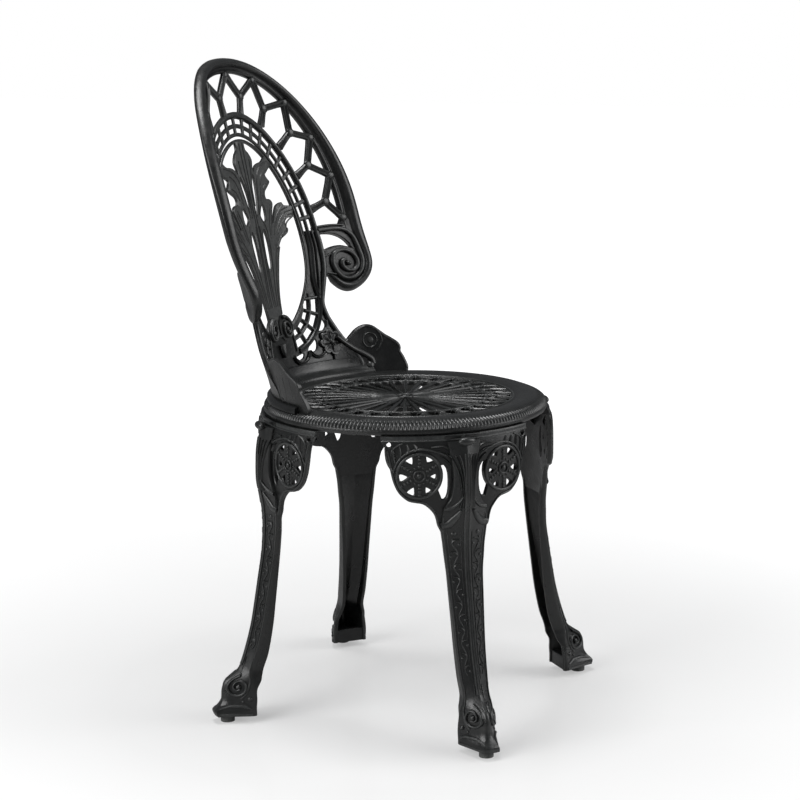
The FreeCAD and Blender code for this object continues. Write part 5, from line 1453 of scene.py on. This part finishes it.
    def corner(self, casting: Casting) -> None:
        """Oval knob, and the double ridge and the acanthus down the corner."""
        knob = Matrix.Translation((217.2, 0, 420.6)) @ Matrix.Diagonal((6.0, 12.4, 5.8, 1.0))
        for vert in casting.solid(knob, "ball", u_segments=28, v_segments=16, radius=1.0):
            vert[casting.crest] = 0.75
        for side in (-1, 1):
            face = FlangeFace(side)
            Pen(casting, face, 22.0).stroke([(0.02, z) for z in range(404, 76, -12)],
                                            Bar(Profile.ROLL, 2.6, -0.6, 2.0, -3.0), 6)
            # Fine ribs that rise from the shaft's top and part towards the wheels
            for foot, middle, end in ((0.06, 0.1, 0.3), (0.16, 0.24, 0.6), (0.28, 0.42, 0.95)):
                Pen(casting, face, 17.0).stroke(
                    [(foot, 330), (foot + 0.02, 346), (middle, 366), ((middle + end) / 2, 384), (end, 398),
                     (end + 0.12, 402)], Bar(Profile.RIDGE, 3.6, -0.4, 2.8, -2.0), 3, swell(0.5, 0.7, 0.1, 0.85))

    def flange(self, casting: Casting, face: FlangeFace) -> None:
        """Borders, vine and straps of one flange, and the volute of its foot."""
        pen = Pen(casting, face, 24.0)
        fine = Bar(Profile.ROLL, 1.2, -0.4, 1.0, -2.0)
        for place, top, bottom, bar in ((0.93, 318, 76, Bar(Profile.ROLL, 2.2, -0.5, 1.7, -2.0)),
                                        (0.78, 296, 96, fine), (0.2, 296, 96, fine)):
            pen.stroke([(place, z) for z in range(top, bottom, -11)], bar, 6)
        # Vine: a waving stem with a leaf and a berry in each bend
        middle, bend = 0.49, 17.0
        pen.stroke([(middle + 0.13 * math.sin(math.pi * (z - 104) / bend), z) for z in range(104, 290, 4)],
                   Bar(Profile.ROLL, 1.9, -0.4, 1.7, -2.0))
        for k in range(11):
            z = 112.0 + bend * k
            sign = -1 if k % 2 else 1
            pen.stroke([(middle + 0.12 * sign, z), (middle - 0.02 * sign, z + 4), (middle - 0.2 * sign, z + 4.6)],
                       Bar(Profile.RIDGE, 4.6, -0.4, 2.2, -2.0), 1.6, swell(0.35, 0.75, 0.1))
            pen.knob((middle - 0.22 * sign, z - 3.0), 2.1, -0.2, 1.7)
        pen.knob((0.5, 294), 3.2, -0.3, 2.2)
        # Two straps that wrap the top of the shaft below the wheel
        for low, high, size in ((305.0, 327.0, 9.0), (328.0, 346.0, 5.6)):
            pen.stroke([(1.0, low), (0.72, low + 2.0), (0.46, (low + high) / 2), (0.24, high)],
                       Bar(Profile.ROLL, size, -0.6, 3.4, -2.0), taper=lambda t: 1.1 - 0.75 * t ** 2)
        # Foot: spiral with its eye, two bands down to it, small balls, and two bands over the sole
        eye = (0.5, 52.0)
        pen = Pen(casting, face, 38.0)
        pen.trace([(eye[0] + a / pen.stretch, eye[1] + b) for a, b in spiral((0, 0), 15.6, 3.6, 100, 1.6, 1.5)],
                  Bar(Profile.ROLL, 4.6, -0.6, 4.4, -2.0), fade(1.1, 0.7))
        pen.knob(eye, 3.8, 0.2, 4.4, 12)
        pen = Pen(casting, face, 30.0)
        pen.stroke([(0.86, 92), (0.9, 76), (0.9, 60), (0.78, 44), (0.6, 35)],
                   Bar(Profile.ROLL, 2.6, -0.6, 2.2, -2.0))
        pen.stroke([(0.16, 92), (0.2, 78), (0.3, 70)], Bar(Profile.ROLL, 2.2, -0.6, 1.8, -2.0))
        pen = Pen(casting, face, 42.0)
        pen.knob((0.88, 35), 3.4, -0.2, 3.0, 12)
        pen.knob((0.66, 31), 2.2, -0.2, 2.0)
        Pen(casting, face, 44.0).stroke([(0.98, 20), (0.75, 24.5), (0.5, 26), (0.25, 24), (0.04, 20)],
                                        Bar(Profile.ROLL, 4.6, -1.0, 3.0, -2.0), 3, swell(0.55, 0.6))
        Pen(casting, face, 46.0).trace(line((1.0, 12.2), (0.02, 12.2), 0.1),
                                       Bar(Profile.FLAT, 4.2, -1.0, 2.0, -2.0))

    def underside(self, casting: Casting) -> None:
        """Lug with its rib under the seat, and the sole with a boss round the glide's stem."""
        s = self.sizes
        lug = casting.solid(Matrix.Translation((177.0, 0, s.lug_height))
                            @ Matrix.Diagonal((54.0, 52.0, s.wall, 1.0)), "box", size=1.0)
        bmesh.ops.bevel(casting.mesh, geom=list({edge for vert in lug for edge in vert.link_edges}), offset=1.4,
                        segments=2, profile=0.5, affect="EDGES", material=-1)
        # Three-sided prism, whose corners are moved to those of the rib
        middle = Vector((s.rib_x, 0, s.lug_height))
        rib = casting.solid(Matrix.Translation(middle) @ Matrix.Rotation(math.pi, 4, "Z"), "cylinder",
                            cap_ends=True, segments=3, radius1=1.0, radius2=1.0, depth=s.wall)
        corners = ((s.rib_x, 381.0), (s.rib_x, s.lug_height), (162.0, s.lug_height))
        for vert in rib:
            place = vert.co - middle
            x, z = corners[round(math.atan2(place.y, place.x) / (math.tau / 3)) % 3]
            vert.co = Vector((x, place.z, z))
        outline = [(281, -7), (281, 7), (249, 23), (241.5, 23), (241.5, -23), (249, -23)]
        casting.plate(PLAIN, outline, [], 30.0, 10.0, (60.0, 60.0), 1.0)
        casting.solid(Matrix.Translation((275.8, 0, 17.6)), "cylinder", cap_ends=True, segments=24, radius1=7.8,
                      radius2=7.2, depth=15.0)


class Hardware(Assembly):
    """Packed bolts, washers and glides, kept as they are and given their finishes."""

    def build(self) -> None:
        """Dresses the CAD nodes."""
        for name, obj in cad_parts.items():
            if "bolts" in name or "washers" in name:
                self.coat(obj, self.finishes.zinc, "fastener")
            elif "glide" in name:
                self.coat(obj, self.finishes.glide, "glide")

    @staticmethod
    def coat(obj: bpy.types.Object, material: bpy.types.Material, slot: str) -> None:
        """Gives a CAD node its material."""
        obj.data.materials.clear()
        obj.data.materials.append(material)
        log.info("%s: %s", obj.name, material.name)


# Stage

@dataclass(frozen=True)
class Lamp:
    """Soft area lamp aimed at the chair."""

    name: str
    place: tuple[float, float, float]
    size: float
    power: float
    aim: tuple[float, float, float] = (0.0, 0.0, 0.45)


@dataclass(frozen=True)
class View:
    """Camera of the photograph, found from it, in millimetres and degrees."""

    azimuth: float = -66.86
    elevation: float = 12.42
    roll: float = -0.68
    distance: float = 2995.0
    across: float = -8.2
    height: float = 371.9
    lens: float = 94.725
    shift: float = 45.3 / 800


class Studio:
    """Pale floor, soft light and the camera."""

    view = View()
    lamps = (
        Lamp("left", (-2.6, 1.6, 2.0), 2.6, 84.0),
        Lamp("right", (0.9, -2.7, 1.8), 2.8, 62.0),
        Lamp("top", (0.0, 0.3, 2.8), 1.0, 40.0),
    )
    WHITE = (1.0, 1.0, 1.0, 1.0)
    SKY = (0.93, 0.95, 1.0, 1.0)
    SKY_STRENGTH = 0.12
    FLOOR_HALF = 14.0
    FLOOR_TINTS = ((0.54, 0.54, 0.537, 1.0), (0.56, 0.56, 0.557, 1.0))
    # Distances from the chair between which the floor's glow grows, and how strong it is there
    GLOW = (0.4, 2.2, 0.36, 1.0)

    def build(self) -> None:
        """Makes floor, lamps, world and camera."""
        self.floor()
        for lamp in self.lamps:
            self.lamp(lamp)
        self.world()
        self.camera()
        scene = bpy.context.scene
        scene.view_settings.view_transform = "Standard"
        scene.view_settings.look = "None"

    def floor(self) -> None:
        """Large pale floor that keeps the soft shadow."""
        mesh = bpy.data.meshes.new("floor")
        work = bmesh.new()
        bmesh.ops.create_grid(work, x_segments=2, y_segments=2, size=self.FLOOR_HALF)
        work.to_mesh(mesh)
        work.free()
        n = Nodes("floor_paint")
        # For the camera the floor glows with distance, so that it runs into the white background
        far = n.add("ShaderNodeVectorMath", operation="LENGTH", Vector=n.place()).outputs["Value"]
        glow = n.product(n.remap(far, *self.GLOW), n.add("ShaderNodeLightPath").outputs["Is Camera Ray"])
        mesh.materials.append(n.shade(
            Base_Color=n.blend(n.remap(n.noise(1.5, 2.0), 0.3, 0.7), *self.FLOOR_TINTS), Roughness=0.2,
            Specular_IOR_Level=0.4, Emission_Color=self.WHITE, Emission_Strength=glow))
        obj = bpy.data.objects.new("floor", mesh)
        bpy.context.scene.collection.objects.link(obj)

    def lamp(self, lamp: Lamp) -> None:
        """One area lamp."""
        data = bpy.data.lights.new(lamp.name, "AREA")
        data.shape = "DISK"
        data.size = lamp.size
        data.energy = lamp.power
        obj = bpy.data.objects.new(lamp.name, data)
        obj.location = lamp.place
        aim = Vector(lamp.aim) - Vector(lamp.place)
        obj.rotation_euler = aim.to_track_quat("-Z", "Y").to_euler()
        bpy.context.scene.collection.objects.link(obj)

    def world(self) -> None:
        """Even light from all round; white to the camera."""
        world = bpy.data.worlds.new("studio")
        world.use_nodes = True
        nodes, links = world.node_tree.nodes, world.node_tree.links
        mix = nodes.new("ShaderNodeMixShader")
        links.new(nodes.new("ShaderNodeLightPath").outputs["Is Camera Ray"], mix.inputs["Fac"])
        for number, node, tint, strength in ((1, nodes["Background"], self.SKY, self.SKY_STRENGTH),
                                             (2, nodes.new("ShaderNodeBackground"), self.WHITE, 1.0)):
            node.inputs["Color"].default_value = tint
            node.inputs["Strength"].default_value = strength
            links.new(node.outputs[0], mix.inputs[number])
        links.new(mix.outputs[0], nodes["World Output"].inputs["Surface"])
        bpy.context.scene.world = world

    def camera(self) -> None:
        """Camera at the photograph's place."""
        v = self.view
        turn, lift, roll = (math.radians(x) for x in (v.azimuth, v.elevation, v.roll))
        back = Vector((math.sin(turn) * math.cos(lift), -math.cos(turn) * math.cos(lift), math.sin(lift)))
        right = Vector((math.cos(turn), math.sin(turn), 0))
        up = back.cross(right)
        level = right * math.cos(roll) + up * math.sin(roll)
        upright = up * math.cos(roll) - right * math.sin(roll)
        place = right * v.across + Vector((0, -SETBACK, v.height)) + back * v.distance
        data = bpy.data.cameras.new("view")
        data.sensor_width = 36.0
        data.lens = v.lens
        data.shift_y = v.shift
        data.clip_end = 60.0
        obj = bpy.data.objects.new("view", data)
        matrix = Matrix((level, upright, back)).transposed().to_4x4()
        matrix.translation = place * MM
        obj.matrix_world = matrix
        bpy.context.scene.collection.objects.link(obj)
        bpy.context.scene.camera = obj


def main() -> None:
    """Builds and dresses the chair."""
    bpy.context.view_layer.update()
    finishes = Finishes.make()
    for assembly in (Seat, Backrest, Legs, Hardware):
        assembly(finishes).build()
    Studio().build()


if __name__ == "__main__":
    main()
